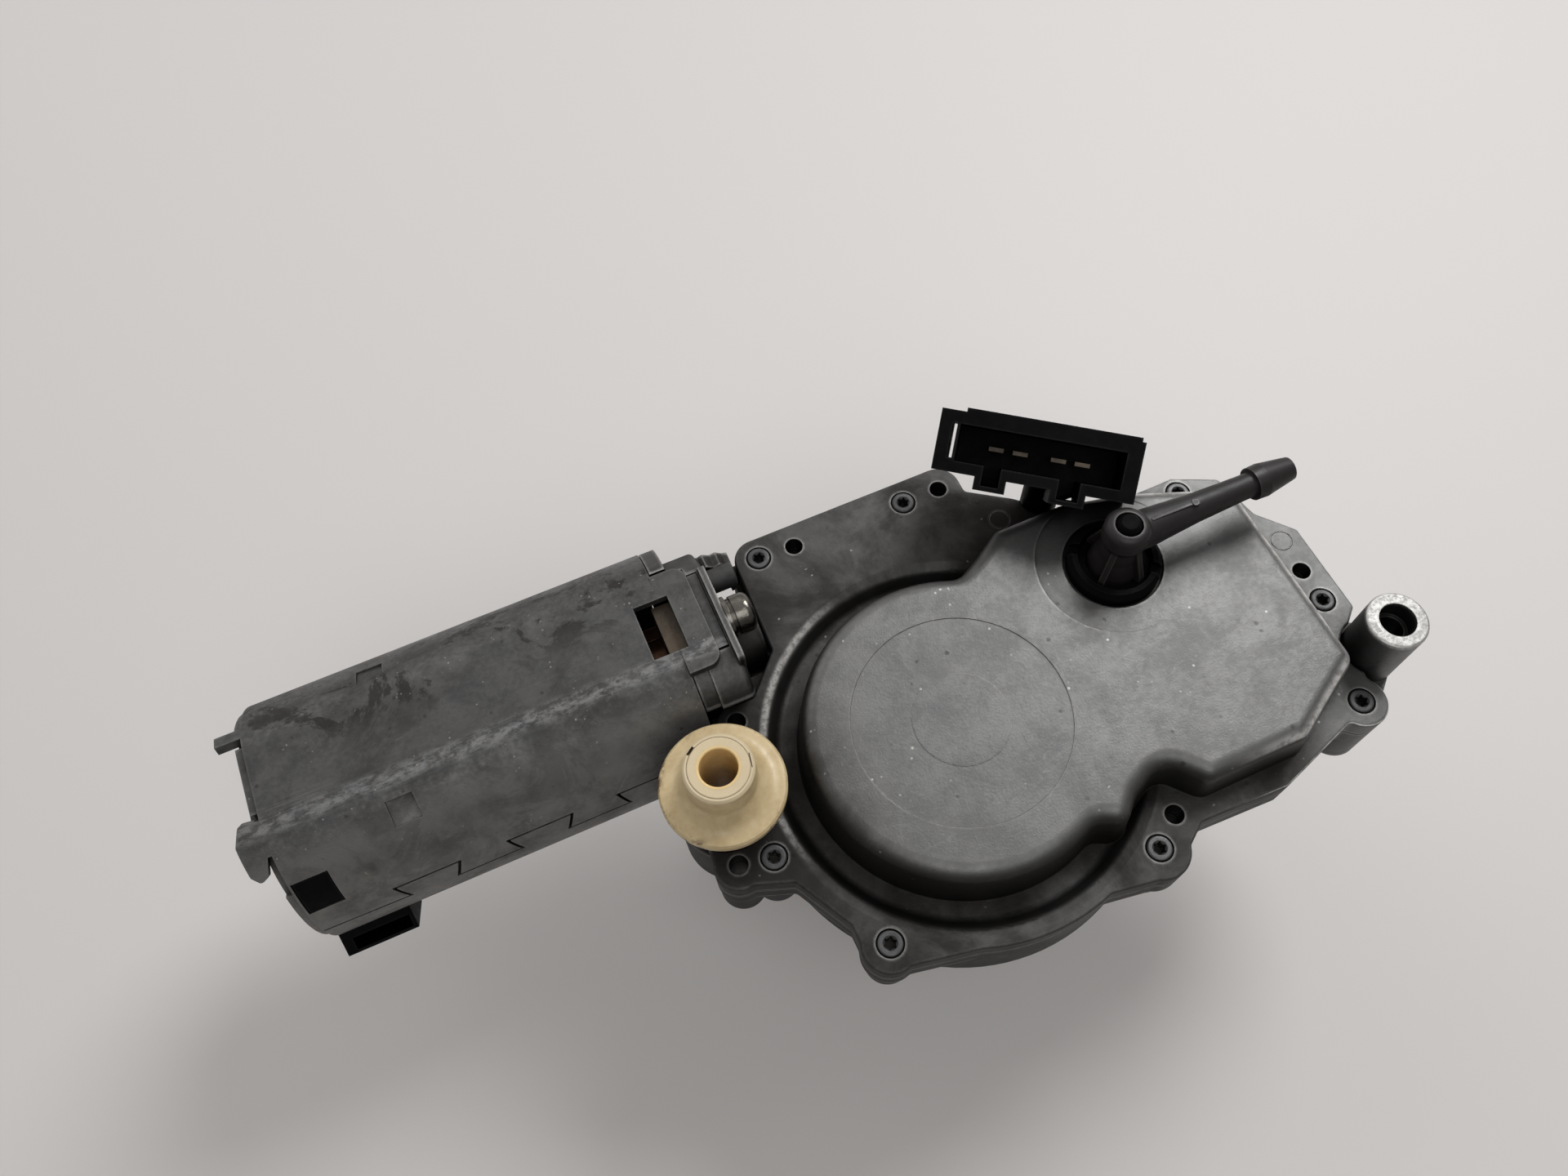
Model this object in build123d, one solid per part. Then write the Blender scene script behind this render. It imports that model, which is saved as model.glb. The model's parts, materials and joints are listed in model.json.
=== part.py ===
from build123d import *
import math
import os

# A rear-window wiper motor: a permanent-magnet motor drives a worm and wheel, and a crank,
# toothed rod and swing link turn that into the swing of a hollow output shaft.
# Millimetres, +Z out of the cover, +X along the motor's axis away from the motor. Heights are
# counted from the joint face of the gear housing; the parts are written with the origin on the
# output shaft's axis, in the middle of the tower that goes through the body panel.

# ---- gearbox levels along Z
cover_top = 13.0
flange_top = 4.0
cover_wall = 2.2
cover_draft = 5.0
gasket_thickness = 0.4
housing_top = -gasket_thickness
housing_flange_bottom = -4.4
floor_top = -13.0
floor_bottom = -15.5

origin_height = -30.0

# ---- axes in plan
wheel_x = -39.8
wheel_y = -16.0
motor_y = 22.5
motor_z = -5.0

# ---- worm and wheel
worm_module = 1.25
wheel_teeth = 54
wheel_pitch_radius = worm_module * wheel_teeth / 2
worm_pitch_radius = motor_y - wheel_y - wheel_pitch_radius
worm_pitch = math.pi * worm_module
worm_tip_radius = worm_pitch_radius + 1.0
worm_root_radius = worm_pitch_radius - 1.3
worm_half_length = 14.0
wheel_bottom = -8.5
wheel_top = -1.5
wheel_bore_radius = 3.54
axle_radius = 3.5

# ---- crank, toothed rod, swing link and pinion
linkage_module = 1.5
pinion_teeth = 11
sector_teeth = 20
link_length = linkage_module * (pinion_teeth + sector_teeth) / 2
link_start_angle = -52.0
link_end_angle = -98.0
crank_pin_radius = 2.8
rod_bottom = 0.6
rod_top = 4.6
link_bottom = 5.0
link_top = 7.2
running_gap = 0.06

# ---- output shaft
shaft_radius = 6.0
shaft_bore_radius = 2.5
shaft_upper_end = 10.2
tower_bottom = -36.0
upper_bush_top = -8.9
tower_radius = 12.5
spline_top = -46.0
spline_bottom = -54.0
shaft_lower_end = -66.0
thread_radius = 4.9

# ---- cover and housing outline
rim_radius = 37.8
dome_radius = 29.2
bowl_inner_radius = 35.6
moat_floor = 1.2
moat_floor_radius = 32.6
screw_points = [
    (-58.3, 33.0), (-26.9, 32.6), (23.9, 11.8), (35.9, -20.0),
    (30.3, -40.1), (-17.3, -48.6), (-66.9, -44.3), (-79.0, -22.8),
]
hole_points = [(-50.9, 32.55), (-19.1, 32.55), (35.9, -13.1), (-11.8, -44.5), (-85.2, -21.6), (-75.4, 3.1)]
ejector_points = [(-11.3, 21.2), (36.2, -6.0)]
rim_lugs = [(30.3, -40.1, 4.9), (-17.3, -48.6, 5.6), (-66.9, -44.3, 5.1), (-85.2, -21.6, 4.5), (-75.4, 3.1, 3.7)]
plain_hole_radius = 1.75
screw_head_radius = 2.25
screw_recess = 0.25
screw_shank_radius = 1.6
screw_boss_bottom = -11.0

# ---- mounting points
boss_x = 38.9
boss_y = -31.8
boss_radius = 5.55
boss_top = 15.0
boss_bottom = -12.0
bush_x = -82.7
bush_y = -10.0
bush_rim_bottom = 11.7
bush_end = 22.2
sleeve_bore_radius = 3.3
sleeve_radius = 4.6
sleeve_head = 2.2
sleeve_head_radius = 5.4
lug_hole_radius = 6.6
rubber_radius = 8.6
rubber_split = 4.2

# ---- motor
casing_radius = 22.9
casing_flat = 21.0
casing_wall = 1.6
casing_rear = -157.2
window_rear = -156.8
window_length = 6.5
casing_front = -80.2
tongue_end = -74.0
tongue_y = 21.5
lip_end = -71.9
crease_radius = 12.0
bell_rear = -80.0
bell_wall = -73.9
bell_step = -77.0
motor_flange_front = -70.3
magnet_inner_radius = 15.1
core_radius = 14.4
core_rear = -140.0
core_front = -100.0
shaft_journal_radius = 3.0
shaft_body_radius = 3.4
commutator_radius = 8.6
nose_radius = 4.0
bolt_radius = 1.9
bolt_lift = 17.2
bolt_side = 3.1

# ---- connector
neck_x = -1.5
neck_y = 22.5
neck_radius = 3.6
connector_length = 36.6
connector_width = 11.2
connector_depth = 17.0


def at(x, y, z=0.0):
    return Pos(x, y, z)


def on_wheel(z=0.0):
    return Pos(wheel_x, wheel_y, z)


def on_motor(x):
    """A plane across the motor's axis: local X is the model's Y, local Y is the model's Z."""
    return Plane(origin=(x, motor_y, motor_z), x_dir=(0, 1, 0), z_dir=(1, 0, 0))


def polar(radius, degrees):
    return (radius * math.cos(math.radians(degrees)), radius * math.sin(math.radians(degrees)))


def prism(sketch, low, high):
    """A sketch in plan, raised from one level to another."""
    return extrude(Pos(0, 0, low) * sketch, high - low)


def tube(radius, bore, low, high):
    return prism(Circle(radius) - Circle(bore), low, high)


def motor_disc(radius, rear, front, bore=0.0):
    ring = Circle(radius) if bore == 0 else Circle(radius) - Circle(bore)
    return extrude(on_motor(rear) * ring, front - rear)


def double_d(radius, flat):
    """A circle with two flats; the creases where they meet are rounded."""
    outline = Circle(radius) & Rectangle(4 * radius, 2 * flat)
    return fillet(outline.vertices(), crease_radius)


def turned(points):
    """A solid of revolution about Z from (radius, height) points."""
    return revolve(Plane.XZ * make_face(Polyline(*points, close=True)), Axis.Z)


# ---- linkage geometry: the crank pin is in line with the rod at both ends of the stroke

def link_pin(degrees):
    return polar(link_length, degrees)


def distance(a, b):
    return math.hypot(b[0] - a[0], b[1] - a[1])


def heading(a, b):
    return math.degrees(math.atan2(b[1] - a[1], b[0] - a[0]))


wheel_centre = (wheel_x, wheel_y)
reach_out = distance(wheel_centre, link_pin(link_start_angle))
reach_in = distance(wheel_centre, link_pin(link_end_angle))
crank_radius = (reach_out - reach_in) / 2
rod_length = (reach_out + reach_in) / 2
rod_start_heading = heading(wheel_centre, link_pin(link_start_angle))
rod_end_heading = heading(wheel_centre, link_pin(link_end_angle))
crank_offset = polar(crank_radius, rod_start_heading)
crank_x = wheel_x + crank_offset[0]
crank_y = wheel_y + crank_offset[1]
link_x, link_y = link_pin(link_start_angle)


# ---- gears

def involute_point(base_radius, radius, start):
    """Polar position on an involute that leaves the base circle at the angle start."""
    roll = math.sqrt(max((radius / base_radius) ** 2 - 1, 0))
    return polar(radius, math.degrees(start + roll - math.atan(roll)))


def gear_face(module, teeth, pressure_angle, addendum, dedendum, backlash):
    """A spur gear's outline with one tooth centred on +X."""
    pitch_radius = module * teeth / 2
    base_radius = pitch_radius * math.cos(math.radians(pressure_angle))
    tip_radius = pitch_radius + addendum
    root_radius = pitch_radius - dedendum
    low_radius = max(base_radius, root_radius)
    roll = math.tan(math.radians(pressure_angle))
    half_tooth = math.pi / (2 * teeth) - backlash / (2 * pitch_radius)
    start = -half_tooth - (roll - math.atan(roll))
    edges = []
    for i in range(teeth):
        turn = 2 * math.pi * i / teeth
        rise = []
        for radius in (low_radius, (low_radius + tip_radius) / 2, tip_radius):
            rise.append(Vector(*involute_point(base_radius, radius, start)))
        fall = [Vector(p.X, -p.Y) for p in reversed(rise)]
        foot = Vector(*polar(root_radius, math.degrees(math.atan2(rise[0].Y, rise[0].X))))
        next_foot = Vector(foot.X, foot.Y).rotate(Axis.Z, 360 / teeth)
        parts = [Spline(*rise), ThreePointArc(rise[-1], Vector(tip_radius, 0), fall[0]), Spline(*fall)]
        if root_radius < base_radius - 0.01:
            parts.insert(0, Line(foot, rise[0]))
            parts.append(Line(fall[-1], Vector(foot.X, -foot.Y)))
        middle = Vector(*polar(root_radius, 180 / teeth))
        parts.append(ThreePointArc(parts[-1] @ 1, middle, next_foot))
        for part in parts:
            edges.extend(part.rotate(Axis.Z, math.degrees(turn)).edges())
    return make_face(edges)


def worm_thread():
    """One right-hand thread, in mesh with a wheel tooth gap half a pitch ahead of the wheel's centre."""
    thread_half = worm_pitch / 4 - 0.16
    slope = math.tan(math.radians(20))
    top_half = thread_half - slope * (worm_tip_radius - worm_pitch_radius)
    sunk = 0.25
    low_half = thread_half + slope * (worm_pitch_radius - worm_root_radius + sunk)
    turns = round(2 * worm_half_length / worm_pitch)
    height = turns * worm_pitch
    path = Helix(worm_pitch, height, worm_root_radius)
    profile = Polyline(
        (worm_root_radius - sunk, 0, -low_half), (worm_tip_radius, 0, -top_half),
        (worm_tip_radius, 0, top_half), (worm_root_radius - sunk, 0, low_half), close=True,
    )
    thread = sweep(make_face(profile), path=path, is_frenet=True)
    # the helix starts on its own +X side: stand it along the motor axis with that side towards the wheel
    along_x = Plane(origin=(0, 0, 0), x_dir=(0, -1, 0), z_dir=(1, 0, 0))
    start_x = wheel_x + worm_pitch / 2 - math.ceil(turns / 2) * worm_pitch
    return Pos(start_x, motor_y, motor_z) * (along_x.location * thread)


# ---- gearbox outlines in plan

def soft_corners(outline, radius):
    """Round every corner of an outline, inward and outward."""
    return offset(offset(offset(outline, radius), -2 * radius), radius)


def rim_outline():
    """The shared outline of the cover's and housing's flanges."""
    outline = make_face(Polyline(
        (-63.0, 37.5), (-14.4, 37.5), (-14.4, 30.0), (-6.5, 24.5), (1.5, 17.0), (15.0, 15.3),
        (24.5, 15.3), (32.9, 11.3), (35.0, 1.5), (40.5, -5.0), (40.5, -23.5), (37.0, -26.6),
        (34.6, -33.5), (33.4, -40.4), (26.4, -42.6), (9.2, -48.2), (-8.0, -47.6), (-13.5, -51.4),
        (-17.3, -53.9), (-29.5, -52.0), (-50.0, -52.0), (-66.0, -48.9), (-71.5, -43.0), (-71.6, -38.9),
        (-77.4, -28.4), (-84.6, -25.8), (-89.4, -21.2), (-88.6, -12.0), (-77.9, 2.4), (-75.4, 6.6),
        (-70.8, 6.3), (-63.7, 13.7), close=True,
    ))
    outline = fillet([v for v in outline.vertices() if v.Y > 36], 4.5)
    outline += on_wheel() * Circle(rim_radius)
    for x, y, radius in rim_lugs:
        outline += at(x, y) * Circle(radius)
    return soft_corners(outline, 1.2)


def notches():
    """Where the rubber bush, the connector's neck and the threaded pillar pass the rim."""
    gaps = at(bush_x, bush_y) * Circle(9.0) + at(neck_x, neck_y) * Circle(neck_radius + 0.3)
    return gaps + at(boss_x, boss_y) * Circle(boss_radius + 0.35)


def output_outline():
    """The raised part of the cover over the rod, the link and the output shaft."""
    outline = make_face(Polyline(
        (30.4, 5.8), (11.0, 13.6), (-2.0, 16.6), (-16.5, 16.6), (-23.0, 12.6), (-30.5, 8.6), (-50.0, -16.0),
        (-30.0, -41.0), (-22.3, -44.9), (-18.0, -40.7), (-12.0, -37.8), (-6.4, -44.2), (13.8, -44.2),
        (30.4, -34.6), close=True,
    ))
    return fillet([v for v in outline.vertices() if v.X > -29], 3.6)


def raised_outline():
    outline = output_outline() + on_wheel() * Circle(dome_radius)
    meeting = [v for v in outline.vertices() if abs(distance((v.X, v.Y), wheel_centre) - dome_radius) < 0.01]
    return fillet([v for v in meeting if v.X > wheel_x], 3.0)


# ---- cover

def moat():
    """The channel between the rim and the dome: a flat floor and a steep outer wall with a rounded top."""
    cut = make_face(Polyline((dome_radius - 6, flange_top + 1), (dome_radius - 6, moat_floor),
                             (moat_floor_radius, moat_floor), (34.4, 3.4), (36.4, flange_top + 0.02),
                             (36.4, flange_top + 1), close=True))
    cut = fillet([v for v in cut.vertices() if v.Y < 3.6 and v.X > dome_radius], 1.6)
    return on_wheel() * revolve(Plane.XZ * cut, Axis.Z)


def housing_cover():
    raised = extrude(at(0, 0, 1.0) * raised_outline(), cover_top - 1.0, taper=cover_draft)
    raised = fillet(raised.faces().sort_by(Axis.Z)[-1].edges(), 3.0)
    rim = prism(rim_outline() - notches(), 0, flange_top)
    rim = fillet(rim.faces().sort_by(Axis.Z)[-1].edges(), 0.5)
    hollow = prism(offset(raised_outline(), -cover_wall), -1.0, cover_top - cover_wall)
    worm_room = at(-42.0, 23.6) * prism(RectangleRounded(38.0, 11.0, 3.0), -1.0, flange_top - cover_wall)
    cover = rim - moat() + raised - hollow - worm_room
    cover -= on_wheel(cover_top - 0.14) * extrude(Circle(19.6), 1.0)
    cover += on_wheel(cover_top - 1.0) * extrude(Circle(8.7), 0.92)
    # the machined face around the shaft is cut deeper on its -X side and runs out on the other
    seat = Plane(origin=(0, 0, cover_top - 0.22), x_dir=(1, 0, 0), z_dir=(-0.022, 0.012, 1.0))
    cover -= seat * Cylinder(14.4, 6.0, align=(Align.CENTER, Align.CENTER, Align.MIN))
    cover -= prism(Circle(9.3), cover_top - 1.0, cover_top + 1)
    cover -= prism(Circle(6.6), 0, cover_top + 1)
    for x, y in screw_points:
        cover -= at(x, y) * prism(Circle(screw_shank_radius + 0.2), -1, flange_top + 1)
        cover -= at(x, y) * tube(screw_head_radius + screw_recess, screw_shank_radius, flange_top - 0.9, 7.5)
        cover -= at(x, y) * prism(Circle(screw_head_radius + screw_recess), flange_top - 0.1, 7.5)
    for x, y in hole_points:
        cover -= at(x, y) * prism(Circle(plain_hole_radius), -1, 8)
    for x, y in ejector_points:
        cover -= at(x, y) * tube(2.15, 1.95, flange_top - 0.12, flange_top + 1)
    return cover


def cover_gasket():
    ring = offset(rim_outline() - notches(), -0.8) - cavity_outline()
    gasket = prism(ring, housing_top, 0)
    for x, y in screw_points:
        gasket -= at(x, y) * prism(Circle(screw_shank_radius + 0.2), -1, 1)
    for x, y in hole_points:
        gasket -= at(x, y) * prism(Circle(plain_hole_radius + 0.3), -1, 1)
    return gasket.solids().sort_by(SortBy.VOLUME)[-1]


def cover_screws():
    screws = []
    for x, y in screw_points:
        head = prism(Circle(screw_head_radius), flange_top - 0.9, flange_top + 0.25)
        head = fillet(head.faces().sort_by(Axis.Z)[-1].edges(), 0.4)
        socket = prism(Circle(0.95), flange_top - 2.6, flange_top + 1)
        for i in range(6):
            socket += prism(at(*polar(0.95, 60 * i)) * Circle(0.24), flange_top - 2.2, flange_top + 1)
        socket += Pos(0, 0, flange_top + 0.1) * Cone(0.9, 1.45, 0.5)
        shank = prism(Circle(screw_shank_radius), screw_boss_bottom + 3.0, flange_top - 0.8)
        screws.append(at(x, y) * (head + shank - socket))
    return Compound(screws)


# ---- housing

def worm_trough(grow=0.0):
    return at(-39.3, 21.2) * RectangleRounded(48.2 + 2 * grow, 24.4 + 2 * grow, 4.0 + grow)


def cavity_outline():
    """The room inside: wheel bowl, rod and link room, worm trough."""
    worm_room = at(-42.0, 21.2) * RectangleRounded(38.0, 18.0, 3.0)
    return on_wheel() * Circle(bowl_inner_radius) + offset(output_outline(), -cover_wall - 0.3) + worm_room


def gear_housing():
    rim = prism(rim_outline() - notches(), housing_flange_bottom, housing_top)
    body = prism(on_wheel() * Circle(rim_radius), floor_bottom, housing_top)
    body += prism(output_outline(), floor_bottom, housing_top)
    body += prism(worm_trough(), floor_bottom, housing_top)
    body = fillet(body.faces().sort_by(Axis.Z)[0].edges(), 2.0)
    housing = rim + body
    for x, y in screw_points + hole_points[:5]:
        housing += at(x, y) * prism(Circle(4.3), screw_boss_bottom, housing_top)
    housing += prism(at(bush_x, bush_y) * Circle(9.4), floor_bottom, housing_top)
    housing += prism(make_face(Polyline((-86, -20), (-72, -30), (-66, -5), (-76, 4), close=True)), screw_boss_bottom,
                     housing_top)
    housing -= prism(cavity_outline(), floor_top, 1.0)
    housing += shaft_tower() + threaded_boss() + motor_neck() + thrust_boss() + wheel_pedestal()
    housing -= prism(Circle(8.5), tower_bottom - 1, 1.0)
    housing -= at(bush_x, bush_y) * prism(Circle(lug_hole_radius), -20, 1)
    housing -= on_wheel() * prism(Circle(axle_radius), floor_bottom + 0.8, 1)
    housing -= motor_disc(6.5, bell_wall - 0.5, -65.4)
    housing -= motor_disc(4.3, -65.5, -60.0)
    housing -= motor_disc(nose_radius, -24.5, -12.6)
    housing -= at(neck_x, neck_y) * prism(Circle(neck_radius + 0.1), -9.0, 6.0)
    housing -= Pos(neck_x, 16.5, -7.5) * Box(6.2, 12.0, 3.2)
    for x, y in screw_points:
        housing -= at(x, y) * prism(Circle(screw_shank_radius), screw_boss_bottom + 2.0, 1)
    for x, y in hole_points:
        housing -= at(x, y) * prism(Circle(plain_hole_radius), -20, 1)
    return housing


def shaft_tower():
    tower = prism(Circle(tower_radius), tower_bottom, -25.0)
    tower = chamfer(tower.faces().sort_by(Axis.Z)[0].edges(), 1.2)
    tower += prism(Circle(tower_radius + 0.8), -26.0, floor_top)
    tower += prism(Circle(10.8), floor_top - 1.0, upper_bush_top)
    for i in range(6):
        rib = make_face(Polyline((10.0, floor_top - 2), (24.0, floor_top - 2), (24.0, floor_bottom), (13.0, -25.6),
                                 (10.0, -25.6), close=True))
        web = extrude(Plane.XZ * rib, 1.1, both=True)
        tower += web.rotate(Axis.Z, 60 * i + 20) & prism(output_outline() + on_wheel() * Circle(rim_radius), -40, 0)
    return tower


def threaded_boss():
    """The cast pillar with an M6 thread, and the web that ties it to the rim."""
    pillar = at(boss_x, boss_y) * prism(Circle(boss_radius), boss_bottom, boss_top)
    pillar = fillet(pillar.faces().sort_by(Axis.Z)[-1].edges(), 0.5)
    pillar += prism(make_face(Polyline((32.0, -25.0), (40.5, -25.0), (42.2, -35.4), (34.2, -42.4), (29.0, -36.0),
                                       close=True)), screw_boss_bottom, housing_top)
    pillar += prism(at(30.3, -40.1) * Circle(4.9), boss_bottom, housing_top)
    pillar -= at(boss_x, boss_y) * prism(Circle(2.5), boss_bottom - 1, boss_top + 1)
    pillar -= at(boss_x, boss_y) * prism(Circle(3.3), boss_top - 4.0, boss_top + 1)
    return pillar


def motor_neck():
    """The end bell that closes the motor, and the tube that carries the shaft into the gearbox."""
    flat = casing_flat - casing_wall - 0.05
    bell = extrude(on_motor(bell_rear) * double_d(casing_radius - 0.5, flat), bell_step - bell_rear)
    bell += extrude(on_motor(bell_step) * double_d(casing_radius, flat), motor_flange_front - bell_step)
    bell -= far_corner(19.9)
    bell += casing_arc(113, 146, bell_rear, bell_step, casing_radius - 0.1, 2.6)
    bell = fillet(bell.faces().sort_by(Axis.X)[-1].edges(), 1.2)
    bell -= bell_room(0)
    bell -= extrude(on_motor(bell_rear - 1) * Rectangle(19.6, 60), bell_wall + 1 - bell_rear)
    for side in (1, -1):
        bell -= Pos(-72.75, tongue_y, motor_z + side * 20.0) * Box(1.9, 16.7, 18.0)
        bell -= Pos(-74.0, tongue_y, motor_z + side * 19.4) * Box(4.4, 16.7, 3.2)
        bar = Pos(motor_flange_front - 0.55, 19.7, motor_z + side * 15.0) * Box(1.3, 20.8, 12.0)
        bell += fillet(bar.edges().filter_by(Axis.X), 1.2)
        bell -= screw_hole(side, 0.1)
    # a step in the bell leaves room for the cover's lug
    bell -= Pos(-75.2, 3.0, 4.3) * Box(10.8, 8.2, 9.4)
    neck = motor_disc(8.4, motor_flange_front - 1.0, -63.8)
    neck += motor_disc(10.0, -64.2, -61.0) & prism(Rectangle(200, 200), -20, housing_top)
    side = Pos(-66.0, 8.5, -6.8) * Box(13.0, 7.0, 12.4)
    return bell + neck + side + torn_web() - on_wheel() * prism(Circle(bowl_inner_radius), floor_top, 1)


def torn_web():
    """The web between the end bell and the flange on the far side, with the rough top left by a broken sprue."""
    side = make_face(Polyline((-73.4, 3.0), (-73.4, 8.2), (-71.2, 9.0), (-69.9, 8.0), (-68.9, 8.5), (-67.4, 7.2),
                              (-66.2, 7.5), (-65.0, 6.2), (-63.9, 5.7), (-63.9, -0.9), (-60.5, -0.9), (-60.5, -5.0),
                              (-64.6, -5.0), (-65.4, 1.6), (-66.4, 3.0), close=True))
    return Pos(0, 36.0, 0) * extrude(Plane.XZ * side, 3.0)


def bell_room(gap):
    """The space for the brush gear inside the end bell."""
    outline = double_d(21.2 - gap, 17.8 - gap)
    room = extrude(on_motor(bell_rear - 1) * outline, 1.9)
    inner = outline - Pos(-18.0, 0) * Rectangle(10.0 + 2 * gap, 60)
    return room + extrude(on_motor(bell_rear) * inner, bell_wall - bell_rear) - far_corner(18.2 - gap)


def far_corner(reach):
    """The upper far corner that the end bell loses in front of its step, in two slopes."""
    steep = Pos(*polar(reach + 14.4, 28)) * Rot(0, 0, 28) * Rectangle(30, 60)
    sketch = Pos(*polar(reach + 15, 50)) * Rot(0, 0, 50) * Rectangle(30, 60) + steep
    return extrude(on_motor(bell_step) * sketch, 12)


def lead_grommet():
    """The black rubber sleeve on the brush leads between the motor's end bell and the gearbox."""
    sleeve = Pos(-67.2, 30.5, 6.8) * Rot(0, 90, 0) * Cylinder(2.4, 5.6)
    return fillet(sleeve.edges(), 0.5)


def thrust_boss():
    return motor_disc(7.4, -23.2, -10.5) & prism(Rectangle(200, 200), -20, housing_top)


def wheel_pedestal():
    return on_wheel() * prism(Circle(7.0), floor_top - 0.5, wheel_bottom - 0.6)


# ---- wheel group

def worm_wheel():
    face = gear_face(worm_module, wheel_teeth, 20, 1.0, 1.35, 0.16)
    lead = math.radians(7.5)
    depth = wheel_top - wheel_bottom
    twist = math.degrees(depth * math.tan(lead) / wheel_pitch_radius)
    middle = (wheel_top + wheel_bottom) / 2
    start = 90 - twist * (motor_z - wheel_bottom) / depth
    blank = Solid.extrude_linear_with_rotation(face.face(), (0, 0, 0), (0, 0, depth), twist)
    wheel = Pos(0, 0, wheel_bottom) * Part(blank.wrapped).rotate(Axis.Z, start)
    wheel -= tube(28.5, 12.0, middle + 1.2, wheel_top + 1)
    wheel -= tube(28.5, 12.0, wheel_bottom - 1, wheel_bottom + 0.6)
    wheel -= prism(Circle(wheel_bore_radius), wheel_bottom - 1, wheel_top + 1)
    for i in range(6):
        wheel -= at(*polar(20.5, 60 * i + 30)) * prism(Circle(3.2), wheel_bottom + 1.6, wheel_top + 1)
    wheel = on_wheel() * wheel
    return wheel - at(crank_x, crank_y) * prism(Circle(crank_pin_radius), wheel_bottom + 1.0, 1.0)


def crank_pin():
    pin = at(crank_x, crank_y) * prism(Circle(crank_pin_radius), wheel_bottom + 1.0, rod_bottom - 0.3)
    return chamfer(pin.faces().sort_by(Axis.Z)[-1].edges(), 0.3)


def contact_disc():
    disc = tube(27.5, 13.0, wheel_bottom + 0.1, wheel_bottom + 0.6)
    park_gap = prism(Rectangle(9.0, 5.5, align=(Align.MIN, Align.CENTER)), wheel_bottom - 1, wheel_bottom + 1)
    return on_wheel() * (disc - park_gap.translate((19.5, 0, 0)).rotate(Axis.Z, 215))


def wheel_axle():
    axle = on_wheel() * prism(Circle(axle_radius), floor_bottom + 0.8, wheel_top + 1.5)
    groove = tube(axle_radius + 1, axle_radius - 0.5, wheel_top + 0.3, wheel_top + 0.9)
    return axle - on_wheel() * groove


def axle_clip():
    ring = tube(5.6, axle_radius - 0.5, wheel_top + 0.3, wheel_top + 0.9)
    gap = prism(Rectangle(9.0, 3.4, align=(Align.MIN, Align.CENTER)), wheel_top, wheel_top + 1)
    return on_wheel() * (ring - gap.rotate(Axis.Z, 120))


# ---- linkage

def toothed_rod():
    """The connecting rod: an eye over the crank pin and a toothed sector centred on the link pin."""
    sector = gear_face(linkage_module, sector_teeth, 25, 1.2, 1.6, 0.12).rotate(Axis.Z, link_start_angle + 180)
    wedge = make_face(Polyline((0, 0), polar(30, 66), polar(30, 108), polar(30, 152), close=True))
    head = (sector & wedge) + Circle(7.5)
    eye = polar(rod_length, rod_start_heading + 180)
    arm = at(eye[0] / 2, eye[1] / 2) * (Rot(0, 0, rod_start_heading) * Rectangle(rod_length, 9.0))
    plate = prism(head + arm + at(*eye) * Circle(6.6), rod_bottom, rod_top)
    plate -= prism(Circle(3.0 + running_gap), 0, 10)
    plate -= at(*eye) * prism(Circle(4.3), 0, 10)
    slot = at(eye[0] * 0.52, eye[1] * 0.52) * (Rot(0, 0, rod_start_heading) * SlotOverall(24.0, 3.6))
    plate -= prism(slot, rod_top - 1.6, 10)
    return at(link_x, link_y) * plate


def rod_bush():
    return at(crank_x, crank_y) * tube(4.3, crank_pin_radius + running_gap, rod_bottom, rod_top)


def swing_link():
    shape = Circle(9.2) + at(link_x, link_y) * Circle(6.6)
    arm = at(link_x / 2, link_y / 2) * (Rot(0, 0, link_start_angle) * Rectangle(link_length, 12.0))
    plate = prism(shape + arm, link_bottom, link_top)
    plate -= prism(Circle(shaft_radius + running_gap), 0, 10)
    return plate - at(link_x, link_y) * prism(Circle(3.0), 0, 10)


def sector_pin():
    pin = prism(Circle(3.0), -0.5, link_top + 0.6)
    pin += prism(Circle(4.2), -0.6, rod_bottom - 0.3) + prism(Circle(4.2), link_top, link_top + 1.0)
    return at(link_x, link_y) * pin


def output_pinion():
    face = gear_face(linkage_module, pinion_teeth, 25, 1.2, 1.6, 0.12)
    face = face.rotate(Axis.Z, link_start_angle + 180 / pinion_teeth)
    return prism(face, rod_bottom, link_bottom - 0.3) - prism(Circle(shaft_radius), 0, 10)


def output_shaft():
    shaft = prism(Circle(shaft_radius), spline_top, shaft_upper_end)
    spline = turned([(0, spline_top), (shaft_radius, spline_top), (5.1, spline_bottom), (0, spline_bottom)])
    for i in range(24):
        groove = at(*polar(6.15, 15 * i)) * Rectangle(0.7, 0.7)
        spline -= prism(groove, spline_bottom - 0.1, spline_top - 1.0)
    shaft += spline + prism(Circle(thread_radius), shaft_lower_end, spline_bottom)
    shaft = chamfer(shaft.faces().sort_by(Axis.Z)[0].edges(), 0.8)
    for i in range(8):
        level = spline_bottom - 2.0 - 1.25 * i
        shaft -= turned([(thread_radius + 0.1, level + 0.55), (thread_radius - 0.55, level),
                         (thread_radius + 0.1, level - 0.55)])
    shaft -= tube(shaft_radius + 1, shaft_radius - 0.6, -37.4, -36.4)
    return shaft - prism(Circle(shaft_bore_radius), shaft_lower_end - 1, shaft_upper_end + 1)


def shaft_bush(low, high):
    return tube(8.5, shaft_radius + 0.05, low, high)


def shaft_circlip():
    ring = tube(9.0, shaft_radius - 0.6, -37.4, -36.4)
    gap = prism(Rectangle(12.0, 4.0, align=(Align.MIN, Align.CENTER)), -38, -36)
    return ring - gap.rotate(Axis.Z, 200)


def shaft_seal():
    return turned([(shaft_radius + 0.4, -23.4), (8.5, -23.4), (8.5, -20.4), (7.4, -20.4), (6.4, -21.6)])


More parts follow.
